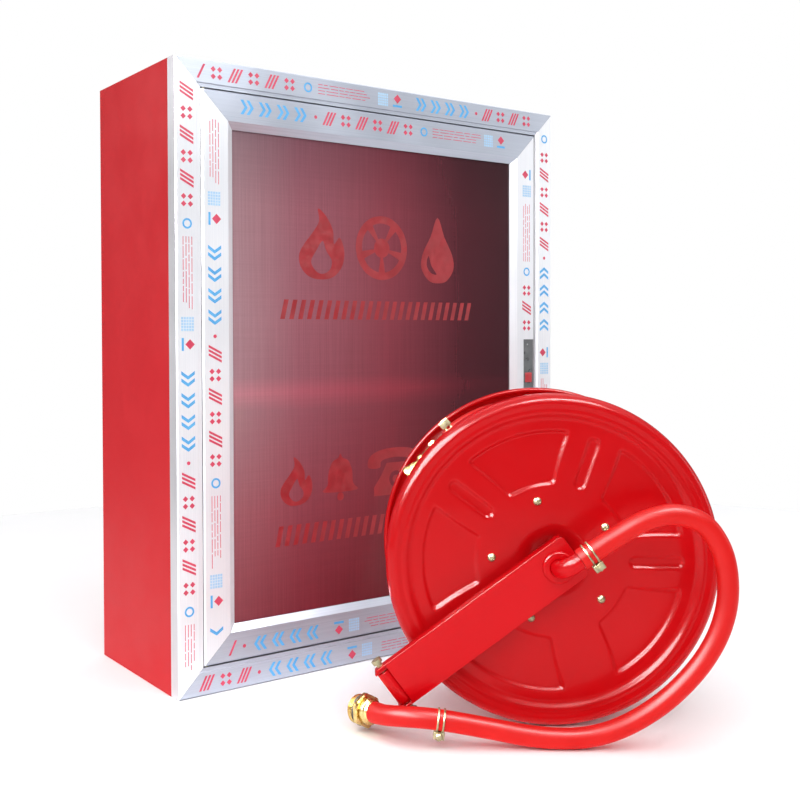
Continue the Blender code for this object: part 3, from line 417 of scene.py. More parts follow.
def outward(mesh):
    bm = bmesh.new()
    bm.from_mesh(mesh)
    bmesh.ops.recalc_face_normals(bm, faces=bm.faces)
    bm.to_mesh(mesh)
    bm.free()
    return mesh


def facing(aim, at=(0, 0, 0)):
    """A matrix whose +Z lies along aim and whose origin is at the given point."""
    return Matrix.Translation(at) @ Vector(aim).to_track_quat("Z", "Y").to_matrix().to_4x4()


def lathe(name, rows, steps=48, closed=True, radius=None):
    """A shape turned about +Z from rows of (radius, height); radius(row, angle) can change it."""
    points, faces = [], []
    for index, (reach, height) in enumerate(rows):
        for step in range(steps):
            angle = 2 * math.pi * step / steps
            r = radius(index, angle, reach) if radius else reach
            points.append((r * math.cos(angle), r * math.sin(angle), height))
    count = len(rows)
    for row in range(count if closed else count - 1):
        after = (row + 1) % count
        for step in range(steps):
            beside = (step + 1) % steps
            faces.append((row * steps + step, row * steps + beside,
                          after * steps + beside, after * steps + step))
    if not closed:
        faces.append(tuple(range(steps))[::-1])
        faces.append(tuple(range((count - 1) * steps, count * steps)))
    return outward(mesh_of(name, points, faces))


def rounded(points, width=0.0006, turns=3):
    """A closed profile with every corner rounded off."""
    result = []
    count = len(points)
    for i in range(count):
        here, before, after = (Vector(points[j % count]) for j in (i, i - 1, i + 1))
        back, ahead = before - here, after - here
        reach = min(width, back.length * 0.45, ahead.length * 0.45)
        start, end = here + back.normalized() * reach, here + ahead.normalized() * reach
        for step in range(turns + 1):
            t = step / turns
            result.append(tuple(start * (1 - t) ** 2 + here * 2 * t * (1 - t) + end * t ** 2))
    return result


def soft_block(name, size, bevel=0.001, crown=0.0):
    """A box centred on its origin with rounded edges; crown lifts the middle of its +Z face."""
    bm = bmesh.new()
    bmesh.ops.create_cube(bm, size=1)
    bmesh.ops.scale(bm, vec=size, verts=bm.verts)
    bmesh.ops.subdivide_edges(bm, edges=bm.edges, cuts=5, use_grid_fill=True)
    for vert in bm.verts:
        if crown and vert.co.z > size[2] / 2 - 1e-6:
            u, v = 2 * vert.co.x / size[0], 2 * vert.co.y / size[1]
            vert.co.z += crown * (1 - u * u) * (1 - v * v)
    edges = [e for e in bm.edges if len(e.link_faces) == 2 and e.calc_face_angle(0) > 0.8]
    bmesh.ops.bevel(bm, geom=edges, offset=bevel, segments=3, affect="EDGES", profile=0.5)
    mesh = bpy.data.meshes.new(name)
    bm.to_mesh(mesh)
    bm.free()
    return mesh


def joined(name, parts):
    """One mesh from (mesh, matrix, material index) parts."""
    bm = bmesh.new()
    for mesh, matrix, index in parts:
        start = len(bm.faces)
        bm.from_mesh(mesh)
        bm.faces.ensure_lookup_table()
        faces = bm.faces[start:]
        for face in faces:
            face.material_index = index
        verts = list({vert for face in faces for vert in face.verts})
        bmesh.ops.transform(bm, matrix=matrix, verts=verts)
    result = bpy.data.meshes.new(name)
    bm.to_mesh(result)
    bm.free()
    return result


def mesh_of_curve(name, data):
    """The curve as a mesh; the curve itself is removed."""
    helper = bpy.data.objects.new(name, data)
    mesh = bpy.data.meshes.new_from_object(helper)
    bpy.data.objects.remove(helper)
    bpy.data.curves.remove(data)
    return mesh


def swept(name, points, radius, sides=4):
    """A round bar along points, as a mesh."""
    data = bpy.data.curves.new(name, "CURVE")
    data.dimensions, data.bevel_depth, data.bevel_resolution = "3D", radius, sides
    data.use_fill_caps = True
    spline = data.splines.new("POLY")
    spline.points.add(len(points) - 1)
    for slot, point in zip(spline.points, points):
        slot.co = (*point, 1)
    return mesh_of_curve(name, data)


def between(before, start, end, after, t):
    """A point on the smooth curve from start (t = 0) to end (t = 1), given their neighbours."""
    return 0.5 * (2 * start + (end - before) * t + (2 * before - 5 * start + 4 * end - after) * t * t
                  + (3 * start - before - 3 * end + after) * t ** 3)


def smooth_loop(points, steps=4):
    """A closed smooth outline through the points."""
    count, result = len(points), []
    for i in range(count):
        neighbours = [Vector(points[(i + k) % count]) for k in (-1, 0, 1, 2)]
        result += [tuple(between(*neighbours, step / steps)) for step in range(steps)]
    return result


def reel_point(right, front, up):
    return Vector((right, -front, up))


def along_arm(along, across, front):
    direction = Vector((math.cos(ARM_ANGLE), math.sin(ARM_ANGLE)))
    flat = direction * along + Vector((-direction.y, direction.x)) * across
    return reel_point(flat.x, front, flat.y)


# ---- Inlet hose and what is on it ---------------------------------------------------------


def with_ends(knots):
    """The knots with one more before the first and after the last, in line with them."""
    return [2 * knots[0] - knots[1]] + knots + [2 * knots[-1] - knots[-2]]


def route_point(knots, index, t):
    """A point and direction on the smooth curve through the knots."""
    before, start, end, after = with_ends(knots)[index:index + 4]
    at = between(before, start, end, after, t)
    aim = 0.5 * ((end - before) + 2 * (2 * before - 5 * start + 4 * end - after) * t
                 + 3 * (3 * start - before - 3 * end + after) * t * t)
    return at, aim.normalized()


def hose_curve(name, knots, radius, thickness, body, stands_for):
    """A tube through the knots; thickness gives each knot's share of the radius."""
    data = bpy.data.curves.new(name, "CURVE")
    data.dimensions, data.bevel_depth, data.bevel_resolution, data.resolution_u = "3D", radius, 7, 10
    data.use_fill_caps = True
    spline = data.splines.new("BEZIER")
    spline.bezier_points.add(len(knots) - 1)
    ends = with_ends(knots)
    for point, before, here, after, share in zip(spline.bezier_points, ends, knots, ends[2:], thickness):
        point.co = here
        point.handle_left, point.handle_right = here - (after - before) / 6, here + (after - before) / 6
        point.radius = share
    obj = bpy.data.objects.new(name, data)
    bpy.context.scene.collection.objects.link(obj)
    obj.matrix_world = REEL
    data.materials.append(MATERIALS["red_rubber"])
    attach(obj, body)
    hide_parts(*stands_for)
    return obj


def wire_clamp(name, at, aim, block_side, radius, stands_for, body="arm"):
    """A double-wire hose clamp: two wire hoops, the two lugs at their ends, and a bolt through them."""
    aim, side = Vector(aim).normalized(), Vector(block_side).normalized()
    side = (side - aim * side.dot(aim)).normalized()
    basis = Matrix.Translation(at) @ Matrix((side, aim.cross(side), aim)).transposed().to_4x4()
    hoop = radius + 0.0007
    parts = []
    for offset in (-0.0032, 0.0032):
        ring = [(hoop * math.cos(a), hoop * math.sin(a), offset)
                for a in (math.radians(20 + 320 * i / 48) for i in range(49))]
        start = [(hoop + 0.0070, ring[0][1] * 0.70, offset), (hoop + 0.0022, ring[0][1] * 0.86, offset)]
        points = start + ring + [(x, -y, z) for x, y, z in start[::-1]]
        parts.append((swept("hoop", points, 0.0012, 3), Matrix.Identity(4), 1))
    middle = hoop + 0.0042
    for sign in (-1, 1):
        lug = soft_block("lug", (0.0082, 0.0026, 0.0122), 0.0006)
        parts.append((lug, Matrix.Translation((middle, sign * 0.0042, 0)), 0))
    bolt = rounded([(0, -0.0082), (0.0021, -0.0082), (0.0021, 0.0060), (0.0042, 0.0060), (0.0042, 0.0082),
                    (0.0030, 0.0094), (0, 0.0098)], 0.0003, 2)
    turn = Matrix.Translation((middle + 0.0004, 0, 0)) @ facing((0, 1, 0))
    parts.append((lathe("bolt", [(max(r, 1e-5), z) for r, z in bolt], 24, False), turn, 0))
    nut = [(0.0021, -0.0056), (0.0039, -0.0056), (0.0039, -0.0078), (0.0021, -0.0078)]
    parts.append((lathe("nut", nut, 6), turn, 0))
    mesh = joined(name, parts)
    return piece(name, mesh, ("zinc_plate", "copper_wire"), body, REEL @ basis, stands_for, "zinc_plate")


def hexagon(flat, rows):
    """A radius rule that makes the given rows six-sided, flat metres from the axis."""
    def rule(index, angle, reach):
        if index not in rows:
            return reach
        turn = (angle + math.pi / 6) % (math.pi / 3) - math.pi / 6
        return min(reach, flat / math.cos(turn))
    return rule


def make_union(end, aim):
    """The brass union on the hose: neck, hexagon, sealing ring, and a screwed end."""
    place = REEL @ facing(aim, end)
    neck = rounded([(0.0080, 0.0002), (0.0118, 0.0002), (0.0124, 0.0030), (0.0150, 0.0045), (0.0150, 0.0092),
                    (0.0128, 0.0104), (0.0128, 0.0140), (0.0080, 0.0140)], 0.0005)
    tail = piece("union_neck", lathe("union_neck", neck, 48), "brass", "arm", place, ["inlet_tail"])
    rows = [(0.0085, 0.0108), (0.0172, 0.0108), (0.0198, 0.0118), (0.0198, 0.0162), (0.0172, 0.0172),
            (0.0150, 0.0174), (0.0150, 0.0196)]
    screw = []
    for turn in range(5):
        z = 0.0200 + turn * 0.0017
        screw += [(0.0154, z), (0.0165, z + 0.0006), (0.0165, z + 0.0009), (0.0154, z + 0.0015)]
    rows += screw + [(0.0150, 0.0290), (0.0140, 0.0296), (0.0105, 0.0296), (0.0100, 0.0290), (0.0085, 0.0200)]
    nut_mesh = lathe("union_nut", rows, 96, True, hexagon(0.0176, (1, 2, 3, 4)))
    nut = piece("union_nut", nut_mesh, "brass", "arm", place, ["coupling_nut"], sharp=28)
    ring = rounded([(0.0151, 0.0174), (0.0176, 0.0174), (0.0180, 0.0186), (0.0176, 0.0198), (0.0151, 0.0198)],
                   0.0006)
    gasket = piece("union_gasket", lathe("union_gasket", ring, 48), "black_rubber", "arm", place,
                   ["coupling_gasket"])
    return [tail, nut, gasket]


def make_inlet_hose():
    knots = [reel_point(*knot) for knot in HOSE_ROUTE]
    near = min(range(len(knots)), key=lambda i: abs(knots[i].x - CLAMP_AT) + 10 * (knots[i].z > 0))
    share = [1.0] * len(knots)
    share[0], share[1], share[-1] = 1.07, 1.02, 1.05
    hose = hose_curve("hose_inlet", knots, HOSE_RADIUS, share, "arm", ["inlet_hose"])
    out = Vector((math.cos(ELBOW_ANGLE), 0, math.sin(ELBOW_ANGLE)))
    elbow_clamp = wire_clamp(
        "clamp_elbow", reel_point(0, ELBOW_DEPTH, 0) + out * (ELBOW_OUT + 0.0125), out,
        (out.z, 0, -out.x), HOSE_RADIUS + 0.0004, ["elbow_clamp", "elbow_clamp_bolt"],
    )
    span = min(((i, t / 10) for i in range(near - 2, near + 2) for t in range(10)),
               key=lambda k: abs(route_point(knots, *k)[0].x - CLAMP_AT))
    at, aim = route_point(knots, *span)
    inlet_clamp = wire_clamp("clamp_inlet", at, aim, (0, 0, -1), HOSE_RADIUS,
                             ["inlet_clamp", "inlet_clamp_bolt"])
    union = make_union(knots[-1], (knots[-1] - knots[-2]).normalized())


# ---- Reel ---------------------------------------------------------------------------------


def pressing(radius, angle):
    """How deep the disc is pressed in at a place: five sector panels, and slots in four of their gaps."""
    def ease(value, width):
        t = min(1.0, max(0.0, value / width))
        return t * t * (3 - 2 * t)

    pitch, wall = 2 * math.pi / PATTERN_COUNT, 0.0036
    turn = (angle - PATTERN_START + pitch / 2) % pitch - pitch / 2
    half = math.radians(17.5 + 6.5 * (radius - PANEL_INNER) / (PANEL_OUTER - PANEL_INNER))
    sides = (radius - PANEL_INNER, PANEL_OUTER - radius, radius * (half - abs(turn)))
    soft = 0.0022
    edge = -soft * math.log(sum(math.exp(-max(-0.05, min(0.05, s)) / soft) for s in sides))
    panel = ease(edge + 0.0015, wall)
    slot_turn = (angle - PATTERN_START) % pitch - pitch / 2
    if BARE_SLOT - pitch / 2 < angle < BARE_SLOT + pitch / 2:
        slot_turn = math.pi
    x, y = radius * math.cos(slot_turn), radius * math.sin(slot_turn)
    off = math.hypot(max(SLOT_INNER - x, 0, x - SLOT_OUTER), y) if x > 0 else 1
    slot = ease(SLOT_HALF - off + 0.001, wall)
    return PANEL_DEPTH * panel + SLOT_DEPTH * slot


def disc_rows(fine):
    """(radius, distance in front of the disc's own plane) from the hub hole to the curled rim."""
    rows = [(HUB_HOLE, FACE), (0.045, FACE), (0.065, FACE), (0.080, FACE)]
    fine_from, fine_to = 0.0845, 0.1600
    steps = int((fine_to - fine_from) / fine)
    rows += [(fine_from + (fine_to - fine_from) * i / steps, FACE) for i in range(steps)]
    bends = [(fine_to, FACE), (0.1630, FACE + 0.0002), (0.1662, 0.0024), (0.1695, 0.0048), (0.1725, 0.0056),
             (0.1755, 0.0054), (0.1785, 0.0060), (0.1820, 0.0066), (0.1855, 0.0058), (0.1885, 0.0034),
             (0.1908, 0.0002), (0.1925, -0.0045), (0.1930, -0.0090), (0.1915, -0.0125), (0.1885, -0.0128),
             (0.1872, -0.0105)]
    knots = [Vector((r, 0, a)) for r, a in bends]
    for index in range(len(knots) - 1):
        for t in (0, 1 / 3, 2 / 3):
            at, _ = route_point(knots, index, t)
            rows.append((min(at.x, RIM), at.z))
    return rows + [bends[-1]]


def pressed_disc(name, node, front, fine, around):
    """A pressed sheet disc as a fine polar grid, thickened by its sheet."""
    rows = disc_rows(fine)
    points, faces = [], []
    for radius, level in rows:
        for step in range(around):
            angle = 2 * math.pi * step / around
            a = level - (pressing(radius, angle) if 0.078 < radius < 0.1595 else 0)
            y = -a if front else SPOOL + a
            points.append((radius * math.cos(angle), y, radius * math.sin(angle)))
    for row in range(len(rows) - 1):
        for step in range(around):
            beside = (step + 1) % around
            quad = (row * around + step, row * around + beside, (row + 1) * around + beside,
                    (row + 1) * around + step)
            faces.append(quad[::-1] if front else quad)
    mesh = mesh_of(name, points, faces)
    obj = piece(name, mesh, "red_gloss", "reel", REEL, [node], sharp=70)
    sheet = obj.modifiers.new("sheet", "SOLIDIFY")
    sheet.thickness, sheet.offset = DISC_SHEET, -1
    sheet.use_rim = True
    return obj


def make_drum():
    front, back, wall, bore = -0.0042, -SPOOL + 0.0042, 0.0015, 0.0225
    rows = [(bore, front), (DRUM_RADIUS, front), (DRUM_RADIUS, back), (bore, back), (bore, back + wall),
            (DRUM_RADIUS - wall, back + wall), (DRUM_RADIUS - wall, front - wall), (bore, front - wall)]
    piece("reel_drum", lathe("reel_drum", rounded(rows, 0.0008), 72), "red_gloss", "reel",
          REEL @ facing((0, -1, 0)), ["drum"])


def make_wound_hose():
    """The stored hose: three layers of turns, each wound back across the one under it."""
    first, last, count = -0.0155, -SPOOL + 0.0155, int(WOUND_TURNS * 30)
    points = []
    for layer, radius in enumerate(WOUND_LAYERS):
        for step in range(count):
            t = step / count
            depth = first + (last - first) * (t if layer % 2 else 1 - t)
            angle = 2 * math.pi * (layer * WOUND_TURNS + t * WOUND_TURNS)
            points.append((radius * math.cos(-angle), -depth, radius * math.sin(-angle)))
    mesh = swept("hose_wound", points, WOUND_HOSE_RADIUS, 3)
    piece("hose_wound", mesh, "red_rubber", "reel", REEL, ["wound_hose"], sharp=80)


def make_screws():
    """Five pan-head screws, their cross recess cut by two small blocks."""
    head = rounded([(0.00001, 0.0044), (0.0020, 0.0041), (0.0038, 0.0030), (0.0049, 0.0010), (0.0025, 0.0010),
                    (0.0025, -0.0070), (0.00001, -0.0070)], 0.0003, 3)
    body = bpy.data.objects.new("screw_body", lathe("screw", head, 32, False))
    bpy.context.scene.collection.objects.link(body)
    tools = []
    for size in ((0.0058, 0.0014, 0.0040), (0.0014, 0.0058, 0.0040)):
        block = soft_block("cross_block", size, 0.0001)
        block.transform(Matrix.Translation((0, 0, 0.0050)))
        tool = bpy.data.objects.new("screw_tool", block)
        bpy.context.scene.collection.objects.link(tool)
        cut = body.modifiers.new("cross", "BOOLEAN")
        cut.object, cut.operation, cut.solver = tool, "DIFFERENCE", "EXACT"
        tools.append(tool)
    graph = bpy.context.evaluated_depsgraph_get()
    finished = bpy.data.meshes.new_from_object(body.evaluated_get(graph))
    for obj in [body] + tools:
        bpy.data.objects.remove(obj)
    for number in range(1, PATTERN_COUNT + 1):
        angle = SCREW_START + (number - 1) * 2 * math.pi / PATTERN_COUNT
        at = (SCREW_CIRCLE * math.cos(angle), 0, SCREW_CIRCLE * math.sin(angle))
        place = REEL @ facing((0, -1, 0), at) @ Matrix.Rotation(0.5 + number, 4, "Z")
        piece(f"screw_{number}", finished.copy(), "zinc_plate", "reel", place, [f"reel_screw_{number}"])


def make_nozzle():
    """The twist nozzle, the hose end that it sits on, and the clamp that holds it."""
    start, end = (Vector((x, -NOZZLE_DEPTH, z)) for x, z in (NOZZLE_START, NOZZLE_END))
    aim, length = (end - start).normalized(), (end - start).length
    split = length * 0.56
    place = REEL @ facing(aim, start)
    body = rounded([(0.0040, split), (0.0075, split), (0.0085, split - 0.004), (0.0085, 0.0240),
                    (0.0110, 0.0225), (0.0110, 0.0150), (0.0085, 0.0135), (0.0085, 0.0030),
                    (0.0065, 0.0010), (0.0040, 0.0010)], 0.0005)

    def knurl(index, angle, reach):
        return reach - (0.0004 if reach > 0.0105 and math.sin(40 * angle) > 0 else 0)

    piece("nozzle_barrel", lathe("nozzle_barrel", body, 160, True, knurl), "brass", "reel", place,
          ["nozzle_body"], sharp=30)
    tip = rounded([(0.0055, length), (0.0108, length), (0.0112, length - 0.003), (0.0068, length - 0.020),
                   (0.0098, length - 0.024), (0.0098, split + 0.0003), (0.0055, split + 0.0003)], 0.0006)
    piece("nozzle_cone", lathe("nozzle_cone", tip, 64), "brass", "nozzle_tip_body", place, ["nozzle_tip"])
    hose_end = start + aim * 0.0007
    knots = [hose_end, hose_end - aim * 0.0155]
    knots += [Vector((x, -NOZZLE_DEPTH, z)) for x, z in TAIL_ROUTE]
    hose_curve("hose_end", knots, 0.0100, [1.04] + [1.0] * (len(knots) - 1), "reel", ["hose_tail"])
    outward_side = (aim.z, 0, -aim.x)
    wire_clamp("clamp_nozzle", hose_end - aim * 0.009, aim, outward_side, 0.0102, ["nozzle_clamp"], "reel")


def make_channel():
    """The arm: a channel folded from sheet, rounded at its hub end, open at its hinge end."""
    half, corner = ARM_WIDTH / 2, 0.007
    arc = [math.radians(90 * i / 6) for i in range(7)]
    line = [(ARM_REACH, -half), (PLATE_END, -half)]
    line += [(-ARM_TAIL + corner - corner * math.sin(t), -half + corner - corner * math.cos(t)) for t in arc]
    line += [(-ARM_TAIL + corner - corner * math.cos(t), half - corner + corner * math.sin(t)) for t in arc]
    line += [(PLATE_END, half), (ARM_REACH, half)]
    count = len(line)
    points = [along_arm(u, v, ARM_FRONT) for u, v in line] + [along_arm(u, v, ARM_BACK) for u, v in line]
    faces = [tuple(range(1, count - 1))]
    faces += [(i, i + 1, count + i + 1, count + i) for i in range(count - 1)]
    mesh = outward(mesh_of("arm_channel", points, faces))
    if max(mesh.polygons, key=lambda p: p.area).normal.y > 0:
        mesh.flip_normals()
    arm = piece("arm_channel", mesh, "arm_red", "arm", REEL, ["swing_arm"], "red_gloss", sharp=40)
    sheet = arm.modifiers.new("sheet", "SOLIDIFY")
    sheet.thickness, sheet.offset, sheet.use_even_offset = ARM_SHEET, -1, True
    fold = arm.modifiers.new("fold", "BEVEL")
    fold.width, fold.segments, fold.limit_method, fold.angle_limit = 0.0009, 3, "ANGLE", math.radians(50)


def make_knuckle():
    """The rolled knuckle round the hinge pin."""
    roll = [(PIN_RADIUS + 0.0003, -KNUCKLE_HALF), (ARM_FRONT - PIN_DEPTH - 0.0004, -KNUCKLE_HALF),
            (ARM_FRONT - PIN_DEPTH - 0.0004, KNUCKLE_HALF), (PIN_RADIUS + 0.0003, KNUCKLE_HALF)]
    along = along_arm(0, 1, 0)
    knuckle = lathe("arm_knuckle", rounded(roll, 0.0008), 40)
    piece("arm_knuckle", knuckle, "arm_red", "arm", REEL @ facing(along, along_arm(PIN_ALONG, 0, PIN_DEPTH)),
          slot="red_gloss")


def make_elbow():
    """The collar on the arm's face and the elbow that turns out of it towards the hose."""
    collar = rounded([(0.0101, ARM_FRONT - 0.001), (0.0182, ARM_FRONT - 0.001), (0.0182, ARM_FRONT + 0.0035),
                      (0.0165, ARM_FRONT + 0.0052), (0.0101, ARM_FRONT + 0.0052)], 0.0010, 4)
    piece("collar", lathe("collar", collar, 64), "arm_red", "arm", REEL @ facing((0, -1, 0)), ["arm_collar"],
          "red_gloss")
    out, forward = Vector((math.cos(ELBOW_ANGLE), 0, math.sin(ELBOW_ANGLE))), Vector((0, -1, 0))
    turns = [math.pi / 2 * i / 16 for i in range(17)]
    bend = [forward * (ELBOW_DEPTH - ELBOW_BEND + ELBOW_BEND * math.sin(t))
            + out * (ELBOW_BEND - ELBOW_BEND * math.cos(t)) for t in turns]
    route = [forward * 0.0300] + bend + [forward * ELBOW_DEPTH + out * ELBOW_OUT]
    mesh = swept("elbow", route, ELBOW_RADIUS, 10)
    piece("elbow", mesh, "arm_red", "arm", REEL, ["inlet_elbow"], "red_gloss")


def make_arm():
    make_channel()
    make_knuckle()
    make_elbow()


# ---- Cabinet ------------------------------------------------------------------------------


def flat_marks(name, outlines, level, body, finish, thick=0.00008):
    """Thin printed shapes on an upright face: closed outlines of (x, z), one inside another cuts it."""
    data = bpy.data.curves.new(name, "CURVE")
    data.dimensions, data.fill_mode, data.extrude = "2D", "BOTH", thick / 2
    for outline in outlines:
        spline = data.splines.new("POLY")
        spline.points.add(len(outline) - 1)
        for slot, (x, z) in zip(spline.points, outline):
            slot.co = (x, z, 0, 1)
        spline.use_cyclic_u = True
    mesh = mesh_of_curve(name, data)
    mesh.transform(Matrix.Translation((0, level - thick / 2, 0)) @ Matrix.Rotation(math.pi / 2, 4, "X"))
    return piece(name, mesh, finish, body, slot="aluminium" if "pane" not in name else "tinted_glass")


def circle(x, y, radius, sides=24):
    return [(x + radius * math.cos(2 * math.pi * i / sides), y + radius * math.sin(2 * math.pi * i / sides))
            for i in range(sides)]


def scaled(outline, x, z, size):
    """A unit outline moved to (x, z) at the given size."""
    return [(x + u * size, z + v * size) for u, v in outline]


def diamond(x, y, reach):
    return [(x - reach, y), (x, y - reach), (x + reach, y), (x, y + reach)]


def chevrons(x, size):
    """Two arrow heads that point along the strip."""
    shapes = []
    for shift in (-0.32, 0.16):
        u, h, w = x + shift * size, size / 2, size * 0.24
        tip = 0.34 * size
        shapes.append([(u, -h), (u + w, -h), (u + w + tip, 0), (u + w, h), (u, h), (u + tip, 0)])
    return shapes


def quarter_diamonds(x, size):
    step, reach = size * 0.25, size * 0.2
    return [diamond(x + sx * step, sy * step, reach) for sx in (-1, 1) for sy in (-1, 1)]


def slants(x, size):
    h, w = size / 2, size * 0.17
    return [[(x + s * size - h * 0.5, -h), (x + s * size - h * 0.5 + w, -h), (x + s * size + h * 0.5 + w, h),
             (x + s * size + h * 0.5, h)] for s in (-0.36, -0.08, 0.20)]


def film_unit(start, draw):
    """One repeat of the protective film's print, as (ink, outlines) along a strip; plain shapes only."""
    pitch, size = 0.0270, 0.0185
    u = start + 0.014
    for i in range(4):
        yield "blue_ink", chevrons(u + i * pitch, size)
    u += 4 * pitch + 0.001
    yield "red_ink", [circle(u, 0, 0.0024, 14)]
    u += 0.022
    for i in range(6):
        yield "red_ink", (quarter_diamonds if i % 2 else slants)(u + i * pitch, size)
    u += 6 * pitch + 0.002
    yield "blue_ink", [circle(u, 0, 0.0066), circle(u, 0, 0.0042)]
    u += 0.016
    for row in (-0.0062, -0.0022, 0.0018, 0.0058):
        v = u
        while v < u + 0.078:
            run = draw.uniform(0.006, 0.020)
            yield "red_ink", [[(v, row), (v + run, row), (v + run, row + 0.0009), (v, row + 0.0009)]]
            v += run + draw.uniform(0.0012, 0.003)
    u += 0.100
    cell, filled = 0.0036, 0.82
    corners = ((0, 0), (filled, 0), (filled, filled), (0, filled))
    yield "pale_ink", [[(u + (i + a) * cell, (j + b) * cell - 0.009) for a, b in corners]
                       for i in range(5) for j in range(5)]
    u += 0.034
    yield "red_ink", [diamond(u, 0.003, 0.0065)]
    low, high = -0.0085, -0.0055
    yield "blue_ink", [[(u - 0.008, low), (u + 0.008, low), (u + 0.008, high), (u - 0.008, high)]]


def strip_marks(name, body, level, strips):
    """The print on one group of bars; a strip is (start, direction, length, phase of the repeat)."""
    draw = random.Random(7)
    inks = {}
    for origin, direction, length, phase in strips:
        ahead = Vector(direction)
        side = Vector((-ahead.y, ahead.x))
        start = -phase
        while start < length:
            for ink, outlines in film_unit(start, draw):
                for outline in outlines:
                    if min(u for u, _ in outline) < 0 or max(u for u, _ in outline) > length:
                        continue
                    points = [Vector(origin) + ahead * u + side * v for u, v in outline]
                    inks.setdefault(ink, []).append([tuple(p) for p in points])
            start += PRINT_REPEAT
    for ink, outlines in inks.items():
        flat_marks(f"{name}_{ink}", outlines, level, body, ink)


def make_film_print():
    low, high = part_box("outer_frame_left")[0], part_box("outer_frame_right")[1]
    front, middle = low.y, 0.0155
    left, right, bottom, top = low.x + middle, high.x - middle, low.z + middle, high.z - middle
    strip_marks("frame_print", "cabinet", front, [
        ((left, top - 0.012), (0, -1), top - bottom - 0.024, 0.130),
        ((left + 0.012, top), (1, 0), right - left - 0.024, 0.142),
        ((right, bottom + 0.012), (0, 1), top - bottom - 0.024, 0.060),
        ((right - 0.012, bottom), (-1, 0), right - left - 0.024, 0.100),
    ])
    low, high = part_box("door_stile_left")[0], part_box("door_stile_right")[1]
    left, right, bottom, top = low.x + 0.0170, high.x - 0.0170, low.z + 0.0170, high.z - 0.0170
    lock_low, lock_high = (corner.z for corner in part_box("lock_faceplate"))
    strip_marks("door_print", "door", low.y, [
        ((left, top - 0.016), (0, -1), top - bottom - 0.032, 0.330),
        ((left + 0.016, top), (1, 0), right - left - 0.032, 0.470),
        ((right, bottom + 0.016), (0, 1), lock_low - bottom - 0.024, 0.020),
        ((right, lock_high + 0.006), (0, 1), top - lock_high - 0.022, 0.210),
        ((right - 0.016, bottom), (-1, 0), right - left - 0.032, 0.120),
    ])


def flame(x, z, size):
    """A flame pictogram with a smaller tongue left open inside it."""
    outer = [(-0.02, -0.50), (0.20, -0.46), (0.36, -0.30), (0.40, -0.08), (0.32, 0.12), (0.22, 0.02),
             (0.20, 0.22), (0.08, 0.42), (-0.06, 0.52), (-0.04, 0.34), (-0.16, 0.16), (-0.28, 0.02),
             (-0.38, -0.14), (-0.36, -0.32), (-0.22, -0.46)]
    inner = [(0.00, -0.42), (0.14, -0.36), (0.18, -0.22), (0.08, -0.08), (0.02, 0.06), (-0.10, -0.10),
             (-0.18, -0.24), (-0.12, -0.36)]
    return [smooth_loop(scaled(loop, x, z, size)) for loop in (outer, inner)]


def wheel(x, z, size):
    """A hand-wheel pictogram: a rim, a hub and five spokes."""
    loops = [circle(x, z, size / 2, 48)]
    for i in range(5):
        middle, half = math.pi / 2 + i * 2 * math.pi / 5, math.radians(27)
        arc = [middle - half + 2 * half * k / 8 for k in range(9)]
        loop = [(x + 0.385 * size * math.cos(a), z + 0.385 * size * math.sin(a)) for a in arc]
        loop += [(x + 0.15 * size * math.cos(a), z + 0.15 * size * math.sin(a)) for a in arc[::-1]]
        loops.append(loop)
    return loops


def drop(x, z, size):
    """A water-drop pictogram with a gleam left open in it."""
    shape = [(0, 0.52), (0.14, 0.22), (0.30, -0.06), (0.32, -0.28), (0.18, -0.46), (0, -0.50), (-0.18, -0.46),
             (-0.32, -0.28), (-0.30, -0.06), (-0.14, 0.22)]
    gleam = [(-0.18, -0.08), (-0.12, -0.24), (-0.02, -0.36), (-0.14, -0.34), (-0.22, -0.22)]
    return [smooth_loop(scaled(loop, x, z, size)) for loop in (shape, gleam)]


def handset(x, z, size):
    """A telephone pictogram: a handset lying over a dialled base."""
    top = [(-0.78, 0.16), (-0.74, 0.40), (-0.44, 0.54), (0, 0.58), (0.44, 0.54), (0.74, 0.40), (0.78, 0.16),
           (0.46, 0.14), (0.40, 0.30), (0, 0.36), (-0.40, 0.30), (-0.46, 0.14)]
    base = [(-0.26, 0.24), (0.26, 0.24), (0.40, -0.02), (0.62, -0.30), (0.62, -0.50), (-0.62, -0.50),
            (-0.62, -0.30), (-0.40, -0.02)]
    return [smooth_loop(scaled(top, x, z, size)), scaled(base, x, z, size),
            circle(x, z - 0.14 * size, 0.19 * size), circle(x, z - 0.14 * size, 0.09 * size)]


def bell(x, z, size):
    """A bell pictogram with its clapper under it."""
    shape = [(-0.44, -0.30), (0.44, -0.30), (0.34, -0.14), (0.32, 0.12), (0.22, 0.36), (0.06, 0.44),
             (0, 0.54), (-0.06, 0.44), (-0.22, 0.36), (-0.32, 0.12), (-0.34, -0.14)]
    return [smooth_loop(scaled(shape, x, z, size)), circle(x, z - 0.42 * size, 0.09 * size)]


def stripes(x0, x1, z, height, pitch):
    """A band of slanting bars from x0 to x1."""
    count = int((x1 - x0) / pitch)
    return [[(x0 + i * pitch, z - height / 2), (x0 + (i + 0.5) * pitch, z - height / 2),
             (x0 + (i + 0.95) * pitch, z + height / 2), (x0 + (i + 0.45) * pitch, z + height / 2)]
            for i in range(count)]


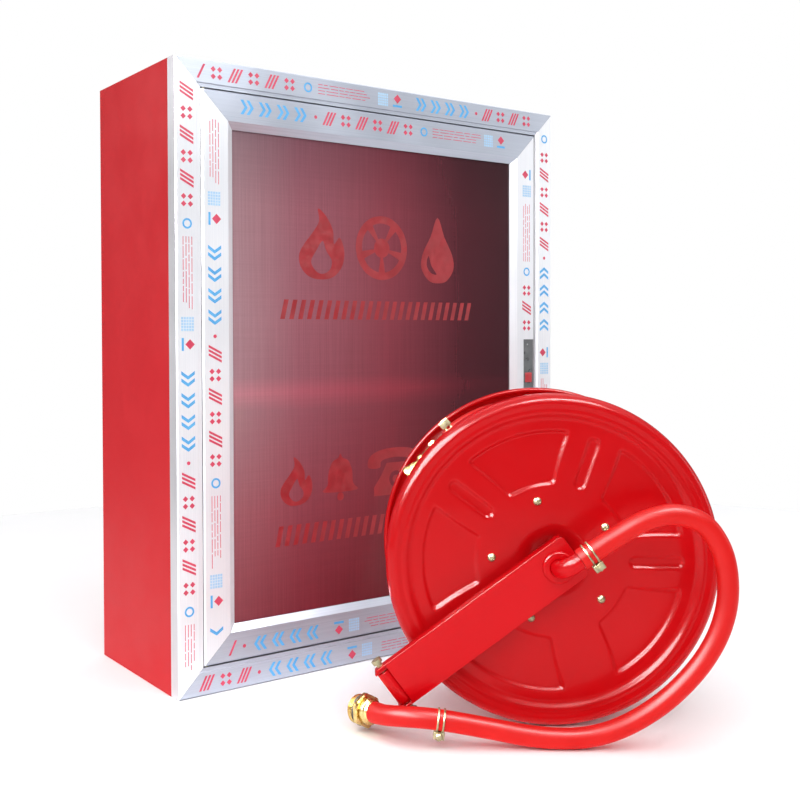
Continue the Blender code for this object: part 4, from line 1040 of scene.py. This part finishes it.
def make_pane_print():
    """Plain pictograms and striped bands printed on the pane."""
    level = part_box("glass_pane")[0].y
    shapes = flame(-0.104, 0.577, 0.094) + wheel(-0.002, 0.577, 0.090) + drop(0.100, 0.577, 0.094)
    shapes += stripes(-0.170, 0.166, 0.489, 0.026, 0.0140)
    shapes += flame(-0.146, 0.258, 0.064) + bell(-0.074, 0.258, 0.062) + handset(0.022, 0.258, 0.062)
    shapes += wheel(0.118, 0.258, 0.058)
    shapes += stripes(-0.179, 0.150, 0.187, 0.027, 0.0140)
    flat_marks("pane_print", shapes, level, "door", "pane_ink")


def make_lock():
    """The crowned push button, and the two countersunk screws of the lock plate."""
    low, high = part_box("lock_faceplate")
    centre, size = (low + high) / 2, high - low
    button_low, button_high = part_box("push_button")
    middle, reach = (button_low + button_high) / 2, button_high - button_low
    turn = Matrix.Rotation(math.pi / 2, 4, "X")
    button = soft_block("lock_button", (reach.x, reach.z, reach.y), 0.0011, 0.0007)
    place = Matrix.Translation(middle) @ turn
    piece("button_cap", button, "red_plastic", "lock_button", place, ["push_button"])
    for sign, name in ((1, "upper"), (-1, "lower")):
        at = (centre.x, low.y, centre.z + sign * (size.z / 2 - 0.0085))
        head = rounded([(0.00001, 0.0008), (0.0014, 0.0008), (0.0026, 0.0001), (0.0026, -0.0006),
                        (0.00001, -0.0006)], 0.0002, 2)
        piece(f"lock_screw_{name}", lathe("lock_screw", head, 24, False), "lock_steel", "door",
              facing((0, -1, 0), at))


def dress_nodes():
    """Every carried-over CAD piece gets its procedural finish."""
    upright = ("outer_frame_left", "outer_frame_right", "door_stile_left", "door_stile_right")
    for name, node in NODES.items():
        if node.hide_render:
            continue
        slot = node.data.materials[0].name.split(".")[0] if node.data.materials else "red_coat"
        # Upright bars take the lit copy of the aluminium, the bars across take the shaded one.
        finish = {"aluminium": "aluminium_upright_lit" if name in upright else "aluminium_across_shaded"}.get(slot, slot)
        if name in PAINTED:
            finish = "arm_red"
        for index in range(max(1, len(node.material_slots))):
            node.data.materials[index] = MATERIALS[finish]


make_camera()
MATERIALS = make_materials()
make_inlet_hose()
make_studio()
make_floor()
pressed_disc("disc_front", "front_disc", True, 0.0017, 432)
pressed_disc("disc_rear", "rear_disc", False, 0.0026, 300)
make_drum()
make_wound_hose()
make_screws()
make_nozzle()
make_arm()
make_lock()
make_film_print()
make_pane_print()
dress_nodes()
